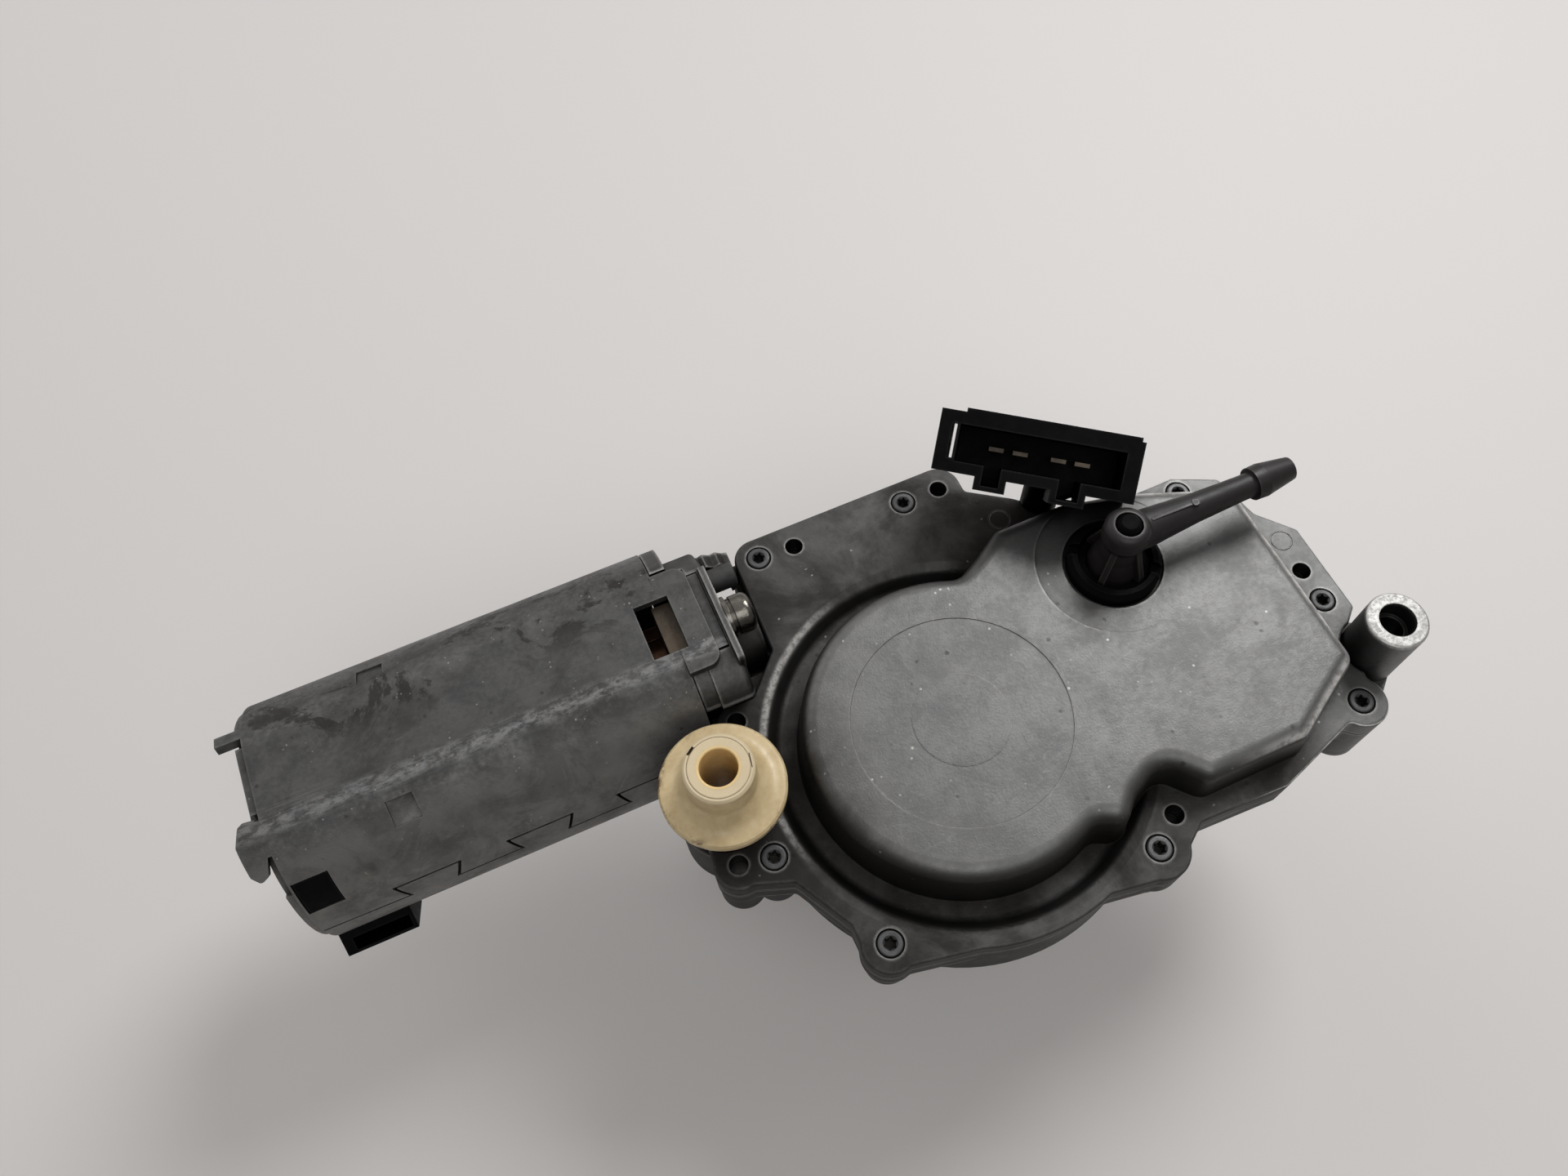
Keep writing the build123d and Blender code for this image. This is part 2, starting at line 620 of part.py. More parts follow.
# ---- washer connection

def elbow_holder():
    """The ring clipped into the cover that holds the washer elbow over the hollow shaft."""
    ring = turned([(5.3, cover_top - 2.4), (6.5, cover_top - 2.4), (6.5, cover_top - 1.0), (8.7, cover_top - 1.0),
                   (8.7, cover_top + 1.2), (7.9, cover_top + 2.2), (6.9, cover_top + 2.2), (6.4, cover_top + 0.6),
                   (5.3, cover_top + 0.6)])
    for degrees in (38, 142, 318):
        slot = prism(Rectangle(5.0, 2.2, align=(Align.MIN, Align.CENTER)), cover_top + 0.6, cover_top + 4)
        ring -= slot.translate((6.6, 0, 0)).rotate(Axis.Z, degrees)
    return ring


def washer_elbow():
    """A hollow elbow: a spigot down into the shaft and a side tube with a hose barb."""
    body = turned([(0, 3.0), (2.0, 3.0), (2.2, 4.0), (2.2, cover_top - 2.0), (4.9, cover_top - 2.0),
                   (4.9, cover_top + 1.4), (3.9, cover_top + 5.0), (3.5, cover_top + 8.0), (4.2, cover_top + 10.0),
                   (4.2, cover_top + 14.0), (0, cover_top + 14.0)])
    body = fillet(body.faces().sort_by(Axis.Z)[-1].edges(), 1.6)
    for degrees in (20, 110, 215, 290):
        rib = make_face(Polyline((1.0, cover_top + 1.0), (6.2, cover_top + 1.0), (6.2, cover_top + 2.0),
                                 (3.6, cover_top + 9.0), (1.0, cover_top + 9.0), close=True))
        body += extrude(Plane.XZ * rib, 0.6, both=True).rotate(Axis.Z, degrees)
    height = cover_top + 9.6
    pipe = [(0, 0), (3.7, 0), (3.5, 5.0), (2.75, 14.0), (2.35, 24.0), (2.35, 26.4), (3.1, 26.4), (3.2, 28.6),
            (2.2, 34.6), (0, 34.6)]
    body += Pos(0, 0, height) * turned(pipe).rotate(Axis.Y, 90)
    body += Pos(9.0, -0.4, height + 2.9) * Rot(0, 3.0, 0) * Box(9.0, 0.5, 1.0)
    body += Pos(13.6, -0.4, height + 2.8) * Cylinder(0.7, 1.0)
    body -= Pos(0, 0, height) * Rot(0, 90, 0) * Cylinder(1.3, 40.0, align=(Align.CENTER, Align.CENTER, Align.MIN))
    body -= prism(Circle(1.3), 0, height + 1.3)
    return body - prism(Circle(2.5), cover_top + 12.6, cover_top + 15)


def elbow_plug():
    """The ball pressed into the elbow's top to close the moulding bore."""
    dome = Pos(0, 0, cover_top + 13.0) * Sphere(2.42)
    return (dome & prism(Circle(3.0), cover_top + 12.61, cover_top + 16)) - prism(Circle(3.0), cover_top + 14.9, 99)


def elbow_seal():
    return Pos(0, 0, 6.5) * tube(shaft_bore_radius - 0.06, 2.2, -1.0, 1.0)


# ---- mounting bush

def mount_sleeve():
    """The bored inner sleeve, whose headed upper end sits in the bush's collar."""
    seat = bush_end - sleeve_head
    sleeve = turned([(sleeve_bore_radius, -18.3), (sleeve_radius, -18.3), (sleeve_radius, seat),
                     (sleeve_head_radius, seat), (sleeve_head_radius, bush_end - 0.2),
                     (sleeve_head_radius - 0.2, bush_end), (sleeve_bore_radius + 0.2, bush_end),
                     (sleeve_bore_radius, bush_end - 0.2)])
    return at(bush_x, bush_y) * sleeve


def mount_bush():
    """The collar around the sleeve and the rim that the body panel bears on, one flowing into the other."""
    seat = bush_end - sleeve_head
    rim_face = bush_rim_bottom + 1.7
    flare = Spline((10.4, rim_face), (8.4, rim_face + 0.45), (6.9, rim_face + 2.0), (6.15, bush_end - 0.5),
                   tangents=((-1, 0.02), (-0.05, 1)))
    rest = Polyline((6.15, bush_end - 0.5), (5.75, bush_end - 0.1), (sleeve_head_radius, bush_end - 0.1),
                    (sleeve_head_radius, seat), (sleeve_radius, seat), (sleeve_radius, rubber_split),
                    (6.2, rubber_split), (6.2, bush_rim_bottom), (11.25, bush_rim_bottom),
                    (11.25, bush_rim_bottom + 1.2), (10.9, rim_face - 0.05), (10.4, rim_face))
    bush = revolve(Plane.XZ * make_face(flare.edges() + rest.edges()), Axis.Z)
    # two openings at the joint between collar and sleeve
    for degrees, width, depth in ((125, 1.7, 0.5), (350, 2.6, 0.14)):
        slot = Pos(sleeve_head_radius + depth / 2, 0, bush_end) * Box(depth, width, 3.0)
        bush -= slot.rotate(Axis.Z, degrees)
    return at(bush_x, bush_y) * bush


def mount_grommet():
    rubber = turned([(sleeve_radius, -16.9), (rubber_radius, -16.9), (rubber_radius, floor_bottom),
                     (lug_hole_radius, floor_bottom), (lug_hole_radius, housing_top), (rubber_radius, housing_top),
                     (rubber_radius, bush_rim_bottom), (6.2, bush_rim_bottom), (6.2, rubber_split),
                     (sleeve_radius, rubber_split)])
    return at(bush_x, bush_y) * rubber


def mount_washer():
    return at(bush_x, bush_y) * tube(rubber_radius, sleeve_radius, -18.3, -16.9)


# ---- connector

def connector_plane():
    """Set at the middle of the mouth: local X along the plug face, local Z out of the mouth."""
    lean = math.radians(34.0)
    turn = math.radians(-37.0)
    mouth = (-8.5, 18.4, 28.9)
    out = (-math.sin(lean) * math.cos(turn + math.pi / 2), -math.sin(lean) * math.sin(turn + math.pi / 2),
           math.cos(lean))
    return Plane(origin=mouth, x_dir=(math.cos(turn), math.sin(turn), 0), z_dir=out)


def connector_housing():
    half = connector_length / 2
    base_level = 1.6 - connector_depth
    shell = Rectangle(connector_length, connector_width) + Pos(1.9, connector_width / 2) * Rectangle(31.4, 1.5)
    socket = Pos(0.5, -0.1) * Rectangle(30.0, 6.8)
    for x, width in ((-half + 10.9, 5.8), (-half + 24.9, 6.4)):
        shell += Pos(x, -connector_width / 2) * Rectangle(width, 4.8)
        socket += Pos(x, -connector_width / 2 + 0.8) * Rectangle(width - 2.6, 4.6)
    slot = Pos(-half + 2.8, 0.2) * Rectangle(0.9, 6.6)
    body = extrude(Pos(0, 0, -connector_depth) * shell, connector_depth)
    body -= extrude(Pos(0, 0, base_level) * socket, connector_depth)
    body -= extrude(Pos(0, 0, -connector_depth - 1) * slot, connector_depth + 2)
    body = connector_plane() * body
    neck = prism(at(neck_x, neck_y) * Circle(neck_radius), -8.8, 18.0)
    neck -= connector_plane() * (Pos(0, 0, -6.0) * Box(60, 60, 20))
    bracket = connector_plane() * (Pos(4.0, 0.5, -connector_depth - 0.4) * Box(14.0, 8.0, 3.0))
    foot = Pos(neck_x, 16.5, -7.5) * Box(6.0, 12.0, 3.0)
    connector = body + neck + bracket + foot
    return connector - prism(offset(raised_outline(), 0.4), flange_top, cover_top + 0.4)


def connector_terminals():
    blades = []
    for x in (-7.3, -2.8, 4.3, 8.7):
        blade = Pos(x, -0.2, 1.6 - connector_depth + 4.0) * Box(2.8, 0.8, 8.0)
        blades.append(connector_plane() * blade)
    return Compound(blades)


def contact_plate():
    """The moulded plate on the housing floor that carries the park contacts under the wheel."""
    plate = prism(on_wheel() * (Circle(31.0) - Circle(7.4)), floor_top, floor_top + 1.4)
    window = make_face(Polyline((wheel_x, wheel_y), (-80, -70), (-10, -70), close=True))
    plate -= prism(window, -20, 0)
    plate += prism(make_face(Polyline((-18, 2), (-4.6, 10.9), (1.6, 10.9), (1.6, 12.9), (-4.6, 12.9), (-24, 6),
                                      close=True)), floor_top, floor_top + 1.4)
    return plate - prism(Circle(11.0), -20, 0)


def park_contacts():
    """Three sprung brass fingers that wipe the contact disc."""
    fingers = []
    for radius in (16.5, 20.5, 24.5):
        side = make_face(Polyline(
            (-6.0, floor_top + 1.4), (0.0, floor_top + 1.4), (9.0, wheel_bottom - 0.55), (10.5, wheel_bottom - 0.2),
            (10.3, wheel_bottom + 0.02), (8.8, wheel_bottom - 0.2), (-0.3, floor_top + 1.8), (-6.0, floor_top + 1.8),
            close=True,
        ))
        finger = Pos(radius, 0, 0) * extrude(Plane.YZ * side, 1.1, both=True)
        fingers.append(on_wheel() * finger.rotate(Axis.Z, 15))
    return Compound(fingers)


# ---- motor casing

def casing_arc(low_angle, high_angle, rear, front, radius, wall):
    """A strip of the casing's round side; angles run up from the -Y side of the motor axis."""
    wedge = make_face(Polyline((0, 0), (-3 * radius * math.cos(math.radians(low_angle)),
                                        3 * radius * math.sin(math.radians(low_angle))),
                               (-3 * radius * math.cos(math.radians((low_angle + high_angle) / 2)),
                                3 * radius * math.sin(math.radians((low_angle + high_angle) / 2))),
                               (-3 * radius * math.cos(math.radians(high_angle)),
                                3 * radius * math.sin(math.radians(high_angle))), close=True))
    ring = double_d(radius, casing_flat) - double_d(radius - wall, casing_flat - wall)
    return extrude(on_motor(rear) * (ring & wedge), front - rear)


def casing_shell(radius, wall):
    return double_d(radius, casing_flat + radius - casing_radius) - double_d(radius - wall, casing_flat - wall)


def motor_casing():
    casing = extrude(on_motor(casing_rear) * casing_shell(casing_radius, casing_wall), casing_front - casing_rear)
    # a tongue on each flat reaches over the end bell and bends down into it, behind the clamped bar
    for side in (1, -1):
        tongue = RectangleRounded(14.0, 21.2, 2.5)
        level = side * (casing_flat - casing_wall / 2)
        sheet = Pos(tongue_end - 7.0, 20.9, motor_z + level) * extrude(tongue, casing_wall / 2, both=True)
        casing += sheet - Pos(casing_front - 20.2, motor_y, motor_z) * Box(40, 60, 60)
        casing += Pos(lip_end - 1.6, tongue_y, motor_z + side * 18.8) * Box(3.2, 16.0, 1.5)
        casing += Pos(lip_end - 0.8, tongue_y, motor_z + side * 15.5) * Box(1.6, 16.0, 8.0)
        casing -= screw_hole(side, 0)
    casing += rear_finger()
    casing += casing_arc(114, 120, casing_rear - 4.6, casing_rear + 1, casing_radius, casing_wall)
    casing -= Pos(-82.0, 21.0, motor_z + casing_flat) * Box(6.6, 11.2, 8.0)
    casing -= casing_arc(20.5, 39.5, window_rear, window_rear + window_length, casing_radius + 1, 4.0)
    casing -= seam_groove()
    for x, y in ((-133.5, 35.3), (-134.6, 8.4)):
        casing -= lance_cut(x, y)
    return casing


def rear_finger():
    """A hooked finger of the round side that was bent over the end plate, with the slot beside it."""
    lean = math.radians(56)
    view = Plane(origin=(0, motor_y, motor_z), x_dir=(1, 0, 0), z_dir=(0, -math.cos(lean), math.sin(lean)))
    hook = make_face(Polyline((-155.5, 5.6), (-160.8, 6.2), (-162.1, 3.0), (-161.8, -2.6), (-160.6, -4.3),
                              (-159.1, -3.6), (-157.9, -0.4), (-155.5, -0.4), close=True))
    hook = fillet([v for v in hook.vertices() if v.X < -158], 0.7)
    ring = extrude(on_motor(casing_rear - 8) * casing_shell(casing_radius, casing_wall), 12)
    return ring & extrude(view * hook, 40)


def screw_hole(side, gap):
    """Room for the screw that clamps a tongue of the casing to the end bell."""
    place = Pos(-77.0, motor_y - side * bolt_side, motor_z + side * bolt_lift)
    return place * Rot(0, 90, 0) * Cylinder(bolt_radius + gap, 9.0, align=(Align.CENTER, Align.CENTER, Align.MIN))


def seam_groove():
    """The dovetailed joint line of the rolled sheet along the casing's side."""
    low = motor_z + 0.8
    high = motor_z + 5.5
    points = [(casing_rear - 1, low + 0.6)]
    for start, end in ((-142.6, -130.5), (-121.4, -109.2), (-100.3, -88.2)):
        points += [(start + 1.6, low), (start, high), (end, high), (end - 1.6, low)]
    points.append((casing_front, low))
    groove = Part()
    for (x0, z0), (x1, z1) in zip(points, points[1:]):
        middle = Pos((x0 + x1) / 2, motor_y - casing_radius, (z0 + z1) / 2)
        tilt = Rot(0, math.degrees(math.atan2(z0 - z1, x1 - x0)), 0)
        groove += middle * tilt * Box(math.hypot(x1 - x0, z1 - z0) + 0.5, 6.0, 0.55)
    skin = motor_disc(casing_radius + 1, casing_rear - 2, casing_front + 1, casing_radius - 0.9)
    return groove & skin


def lance_cut(x, y):
    """A small square plate pressed into the sheet."""
    tilt = math.degrees(math.asin(min(1.0, (motor_y - y) / casing_radius)))
    spot = Pos(x, motor_y, motor_z) * Rot(tilt, 0, 0) * Pos(0, 0, casing_radius)
    return spot * Rot(-2.5, 2.5, 0) * Pos(0, 0, 1.55) * Box(4.8, 4.8, 4.0)


def casing_end_plate():
    plate = extrude(on_motor(casing_rear - 1.5) * double_d(casing_radius - 0.9, casing_flat - 0.9), 1.5)
    plate += motor_disc(8.0, casing_rear - 6.0, casing_rear - 1.0)
    plate = fillet(plate.faces().sort_by(Axis.X)[0].edges(), 1.6)
    plate -= motor_disc(6.4, casing_rear - 4.8, casing_rear + 1)
    plate -= casing_arc(33, 75, casing_rear - 7, casing_rear + 1, casing_radius + 1, 3.0)
    plate -= casing_arc(111, 123, casing_rear - 7, casing_rear + 1, casing_radius + 1, 3.0)
    return plate


def bearing_carrier():
    """The black moulding inside the rear of the casing that holds the rear bearing."""
    outline = double_d(casing_radius - casing_wall, casing_flat - casing_wall)
    carrier = extrude(on_motor(casing_rear + 1.0) * outline, 2.2)
    carrier += motor_disc(8.5, casing_rear, casing_rear + 8.0)
    carrier += casing_arc(20.8, 39.2, window_rear + 0.2, window_rear + window_length - 0.2, casing_radius - 0.15, 4.0)
    carrier -= motor_disc(5.5, casing_rear - 1, casing_rear + 9)
    return carrier


def casing_clip():
    """The black vent cap on the underside of the casing, near its rear end."""
    lean = math.radians(42)
    tilt = Plane(origin=(-151.6, motor_y, motor_z), x_dir=(1, 0, 0), z_dir=(0, -math.cos(lean), -math.sin(lean)))
    cap = tilt * (Pos(0, 0, casing_radius + 1.9) * Box(13.8, 11.0, 5.2))
    slot = tilt * (Pos(0.6, 2.0, casing_radius + 2.6) * Box(11.0, 8.2, 2.6))
    cap -= extrude(on_motor(-170) * double_d(casing_radius, casing_flat), 40)
    return cap - slot


def motor_screws():
    screws = []
    for side in (1, -1):
        seat = motor_flange_front + 0.1
        screw = motor_disc(bolt_radius, bell_wall, seat) + motor_disc(4.2, seat, -69.4)
        screw += motor_disc(3.3, -69.4, -68.5)
        head = motor_disc(3.8, -68.5, -64.9)
        head = fillet(head.faces().sort_by(Axis.X)[-1].edges(), 1.5)
        screws.append((screw + head).translate((0, -side * bolt_side, side * bolt_lift)))
    return Compound(screws)


# ---- motor inside

def field_magnet(side):
    ring = Circle(casing_radius - casing_wall - 0.05) - Circle(magnet_inner_radius)
    wedge = make_face(Polyline((0, 0), polar(60, -50), polar(60, 0), polar(60, 50), close=True))
    arc = ring & wedge
    if side < 0:
        arc = arc.rotate(Axis.Z, 180)
    return extrude(on_motor(core_rear - 2.0) * arc, core_front - core_rear + 4.0)


def armature_shaft():
    shaft = motor_disc(shaft_journal_radius, -160.0, -94.0) + motor_disc(shaft_body_radius, -94.0, -52.0)
    shaft += motor_disc(worm_root_radius, wheel_x - worm_half_length - 3.0, wheel_x + worm_half_length + 1.0)
    shaft += motor_disc(2.5, wheel_x + worm_half_length, -18.6)
    return shaft + worm_thread()


def core_outline():
    outline = Circle(core_radius)
    for i in range(10):
        slot = Pos(*polar(10.4, 36 * i)) * (Rot(0, 0, 36 * i) * Rectangle(5.4, 3.2))
        mouth = Pos(*polar(14.0, 36 * i)) * (Rot(0, 0, 36 * i) * Rectangle(3.0, 1.2))
        outline -= slot + mouth
    return outline


def armature_core():
    core = extrude(on_motor(core_rear) * core_outline(), core_front - core_rear)
    return core - motor_disc(shaft_journal_radius, core_rear - 1, core_front + 1)


def armature_windings():
    ends = []
    for rear, front in ((core_rear - 6.0, core_rear), (core_front, core_front + 6.0)):
        end = motor_disc(13.2, rear, front, shaft_journal_radius + 1.0)
        outer = end.faces().sort_by(Axis.X)[0 if rear < core_rear else -1].edges()
        ends.append(fillet([e for e in outer if e.radius > 10], 2.4))
    windings = ends[0] + ends[1]
    for i in range(10):
        bar = Pos(*polar(10.4, 36 * i)) * (Rot(0, 0, 36 * i) * Rectangle(5.2, 3.0))
        windings += extrude(on_motor(core_rear - 1.0) * bar, core_front - core_rear + 2.0)
    return windings


def commutator():
    body = motor_disc(commutator_radius, -86.6, -77.2) + motor_disc(commutator_radius + 1.4, -88.2, -86.6)
    for i in range(10):
        groove = Pos(*polar(commutator_radius + 1.0, 36 * i)) * (Rot(0, 0, 36 * i) * Rectangle(3.4, 0.5))
        body -= extrude(on_motor(-89.0) * groove, 12.5)
    return body - motor_disc(shaft_body_radius, -90, -75)


def brush_plate():
    plate = bell_room(0.25) & extrude(on_motor(bell_wall - 2.4) * Circle(30), 2.3)
    return plate - motor_disc(commutator_radius + 1.0, -80, -70)


def brush_place(side):
    """A brush works across the motor axis; its local Z points outwards."""
    lean = 0 if side > 0 else 180
    return Pos(-79.4, motor_y - side * 1.2, motor_z) * Rot(lean, 0, 0)


def brush_holders():
    boxes = []
    for side in (1, -1):
        box = Pos(0, 0, 13.9) * (Box(5.6, 10.6, 8.6) - Box(4.6, 9.4, 10.0)) + Pos(0, 0, 18.1) * Box(5.6, 10.6, 0.4)
        boxes.append(brush_place(side) * (box - Pos(2.8, 0, 19.5) * Box(3.0, 6.0, 1.0)))
    return Compound(boxes)


def carbon_brushes():
    brushes = []
    for side in (1, -1):
        brush = brush_place(side) * (Pos(0, 0, 11.6) * Box(4.4, 9.0, 6.4))
        brushes.append(brush - motor_disc(commutator_radius + 0.06, -90, -70))
    return Compound(brushes)


def brush_springs():
    springs = []
    for side in (1, -1):
        path = Helix(0.85, 2.55, 1.4)
        wire = Plane(origin=path @ 0, z_dir=path % 0) * Circle(0.22)
        spring = sweep(wire, path=path, is_frenet=True)
        springs.append(brush_place(side) * (Pos(0, 0, 15.1) * spring))
    return Compound(springs)


def rear_bush():
    return motor_disc(5.5, casing_rear + 1.2, casing_rear + 7.4, shaft_journal_radius + 0.04)


def front_bush():
    return motor_disc(6.5, -71.5, -65.5, shaft_body_radius + 0.04)


def nose_bush():
    return motor_disc(nose_radius, -23.2, -19.4, 2.54)


def thrust_ball():
    return Pos(-16.5, motor_y, motor_z) * Sphere(2.0)


def thrust_pad():
    return motor_disc(nose_radius, -14.5, -12.6)


def rear_thrust_pad():
    return motor_disc(6.3, casing_rear - 4.7, -160.3)


nodes = {
    "housing_cover": housing_cover,
    "cover_gasket": cover_gasket,
    "cover_screws": cover_screws,
    "gear_housing": gear_housing,
    "worm_wheel": worm_wheel,
    "crank_pin": crank_pin,
    "contact_disc": contact_disc,
    "wheel_axle": wheel_axle,
    "axle_clip": axle_clip,
    "toothed_rod": toothed_rod,
    "rod_bush": rod_bush,
    "swing_link": swing_link,
    "sector_pin": sector_pin,
    "output_pinion": output_pinion,
    "output_shaft": output_shaft,
    "shaft_upper_bush": lambda: shaft_bush(-20.2, upper_bush_top),
    "shaft_lower_bush": lambda: shaft_bush(tower_bottom, -24.0),
    "shaft_seal": shaft_seal,
    "shaft_circlip": shaft_circlip,
    "elbow_holder": elbow_holder,
    "washer_elbow": washer_elbow,
    "elbow_plug": elbow_plug,
    "elbow_seal": elbow_seal,
    "mount_sleeve": mount_sleeve,
    "mount_bush": mount_bush,
    "mount_grommet": mount_grommet,
    "mount_washer": mount_washer,
    "connector_housing": connector_housing,
    "connector_terminals": connector_terminals,
    "contact_plate": contact_plate,
    "park_contacts": park_contacts,
    "motor_casing": motor_casing,
    "casing_end_plate": casing_end_plate,
    "bearing_carrier": bearing_carrier,
    "casing_clip": casing_clip,
    "motor_screws": motor_screws,
    "near_magnet": lambda: field_magnet(-1),
    "far_magnet": lambda: field_magnet(1),
    "armature_shaft": armature_shaft,
    "armature_core": armature_core,
    "armature_windings": armature_windings,
    "commutator": commutator,
    "brush_plate": brush_plate,
    "brush_holders": brush_holders,
    "carbon_brushes": carbon_brushes,
    "brush_springs": brush_springs,
    "rear_bush": rear_bush,
    "front_bush": front_bush,
    "nose_bush": nose_bush,
    "thrust_ball": thrust_ball,
    "thrust_pad": thrust_pad,
    "lead_grommet": lead_grommet,
    "rear_thrust_pad": rear_thrust_pad,
}

os.makedirs("parts", exist_ok=True)
for name, build in nodes.items():
    export_step(Pos(0, 0, -origin_height) * build(), f"parts/{name}.step")
    print(name)

stroke = rod_end_heading + 180 - rod_start_heading
armature_turn = stroke * wheel_teeth
link_turn = link_end_angle - link_start_angle
rod_turn = rod_end_heading - rod_start_heading - link_turn
output_turn = link_turn - rod_turn * sector_teeth / pinion_teeth
print(f"crank radius {crank_radius:.3f}, rod length {rod_length:.3f}, wheel turn {stroke:.3f} degrees")
print(f"armature turn {armature_turn:.3f}, link {link_turn:.3f}, rod {rod_turn:.3f}, output {output_turn:.3f}")
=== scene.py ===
import json
import math

import bpy
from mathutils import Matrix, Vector


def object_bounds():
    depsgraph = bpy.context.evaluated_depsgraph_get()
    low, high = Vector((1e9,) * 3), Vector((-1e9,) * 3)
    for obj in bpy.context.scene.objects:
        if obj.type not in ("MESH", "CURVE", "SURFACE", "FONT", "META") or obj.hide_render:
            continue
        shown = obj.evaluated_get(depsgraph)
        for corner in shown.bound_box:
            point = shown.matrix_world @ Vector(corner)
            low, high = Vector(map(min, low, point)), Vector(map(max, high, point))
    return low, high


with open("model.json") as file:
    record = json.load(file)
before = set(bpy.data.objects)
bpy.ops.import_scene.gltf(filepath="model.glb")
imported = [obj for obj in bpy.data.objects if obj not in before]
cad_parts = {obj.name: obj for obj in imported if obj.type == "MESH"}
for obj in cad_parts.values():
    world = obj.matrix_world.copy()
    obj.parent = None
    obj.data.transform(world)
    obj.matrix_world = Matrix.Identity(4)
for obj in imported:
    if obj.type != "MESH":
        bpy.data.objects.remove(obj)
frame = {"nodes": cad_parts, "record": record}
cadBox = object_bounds()
nodes = frame["nodes"]
print("stage: frame loaded,", len(nodes), "nodes")


# camera, floor and light, with lengths in metres and turns in degrees

cameraSetup = {
    "place": (-0.0925, -0.0765, 0.243),
    "turn": (27.18, 2.0, -23.5),
    "lens": 27.75,
    "sensor": 36.0,
    "clip": (0.005, 20),
}

floorSetup = {
    "half": 3.0,
    "gap": 0.0004,
    "tone": (0.69, 0.668, 0.655, 1),
    "roughness": 0.6,
}

lampSetup = [
    {"name": "keyLamp", "place": (0.44, 0.32, 0.72), "size": 0.40, "power": 4.4},
    {"name": "frontLamp", "place": (-0.10, -0.50, 0.95), "size": 0.8, "power": 3.2},
    {"name": "farLamp", "place": (-0.30, 0.70, 0.50), "size": 0.7, "power": 1.3},
]

# strengths as lit and as seen; from the bright back of the room to its dim front
# they fall to the front's share
worldLook = {
    "tone": (0.80, 0.775, 0.76, 1),
    "ambient": 0.40,
    "backdrop": 0.74,
    "frontShare": 0.38,
    "frontToBack": (-0.7, 0.4),
}


def addNode(tree, kind, settings=None, values=None, feeds=None):
    node = tree.nodes.new(kind)
    for key, value in (settings or {}).items():
        setattr(node, key, value)
    for key, value in (values or {}).items():
        node.inputs[key].default_value = value
    for key, socket in (feeds or {}).items():
        tree.links.new(socket, node.inputs[key])
    return node


def mathNode(tree, operation, first, second=None):
    node = addNode(tree, "ShaderNodeMath", {"operation": operation})
    for index, value in enumerate((first, second)):
        if value is None:
            continue
        if isinstance(value, (int, float)):
            node.inputs[index].default_value = value
        else:
            tree.links.new(value, node.inputs[index])
    return node.outputs[0]


def product(tree, *factors):
    result = factors[0]
    for factor in factors[1:]:
        result = mathNode(tree, "MULTIPLY", result, factor)
    return result


def rangeNode(tree, value, low, high, toLow=0.0, toHigh=1.0):
    limits = {"From Min": low, "From Max": high, "To Min": toLow, "To Max": toHigh}
    node = addNode(tree, "ShaderNodeMapRange", {"interpolation_type": "SMOOTHSTEP"}, limits,
                   {"Value": value})
    return node.outputs["Result"]


def splitVector(tree, vector):
    return addNode(tree, "ShaderNodeSeparateXYZ", {}, {}, {"Vector": vector}).outputs


def makeCamera():
    data = bpy.data.cameras.new("benchCamera")
    data.lens = cameraSetup["lens"]
    data.sensor_width = cameraSetup["sensor"]
    data.clip_start, data.clip_end = cameraSetup["clip"]
    camera = bpy.data.objects.new("benchCamera", data)
    bpy.context.scene.collection.objects.link(camera)
    camera.location = cameraSetup["place"]
    camera.rotation_euler = [math.radians(angle) for angle in cameraSetup["turn"]]
    bpy.context.scene.camera = camera


def makeLamps():
    middle = (Vector(cadBox[0]) + Vector(cadBox[1])) / 2
    for lamp in lampSetup:
        data = bpy.data.lights.new(lamp["name"], "AREA")
        data.shape = "DISK"
        data.size = lamp["size"]
        data.energy = lamp["power"]
        thing = bpy.data.objects.new(lamp["name"], data)
        bpy.context.scene.collection.objects.link(thing)
        thing.location = lamp["place"]
        away = Vector(lamp["place"]) - middle
        thing.rotation_euler = away.to_track_quat("Z", "Y").to_euler()


def makeWorld():
    world = bpy.data.worlds.new("paleRoom")
    bpy.context.scene.world = world
    world.use_nodes = True
    tree = world.node_tree
    tree.nodes.clear()
    path = addNode(tree, "ShaderNodeLightPath").outputs
    seen = path["Is Camera Ray"]
    for label in ("Is Glossy Ray", "Is Transmission Ray"):
        seen = mathNode(tree, "MAXIMUM", seen, path[label])
    strength = rangeNode(tree, seen, 0.0, 1.0, worldLook["ambient"], worldLook["backdrop"])
    direction = addNode(tree, "ShaderNodeTexCoord").outputs["Generated"]
    share = rangeNode(tree, splitVector(tree, direction)["Y"], *worldLook["frontToBack"],
                      worldLook["frontShare"])
    room = addNode(tree, "ShaderNodeBackground", {}, {"Color": worldLook["tone"]},
                   {"Strength": product(tree, strength, share)})
    addNode(tree, "ShaderNodeOutputWorld", {}, {}, {"Surface": room.outputs[0]})


def makeFloor():
    level = cadBox[0][2] - floorSetup["gap"]
    bpy.ops.object.select_all(action="DESELECT")
    bpy.ops.mesh.primitive_plane_add(size=2 * floorSetup["half"], location=(0, 0, level))
    floor = bpy.context.object
    floor.name = "paleFloor"
    finish = bpy.data.materials.new("palePaper")
    finish.use_nodes = True
    shader = finish.node_tree.nodes["Principled BSDF"]
    shader.inputs["Base Color"].default_value = floorSetup["tone"]
    shader.inputs["Roughness"].default_value = floorSetup["roughness"]
    floor.data.materials.append(finish)


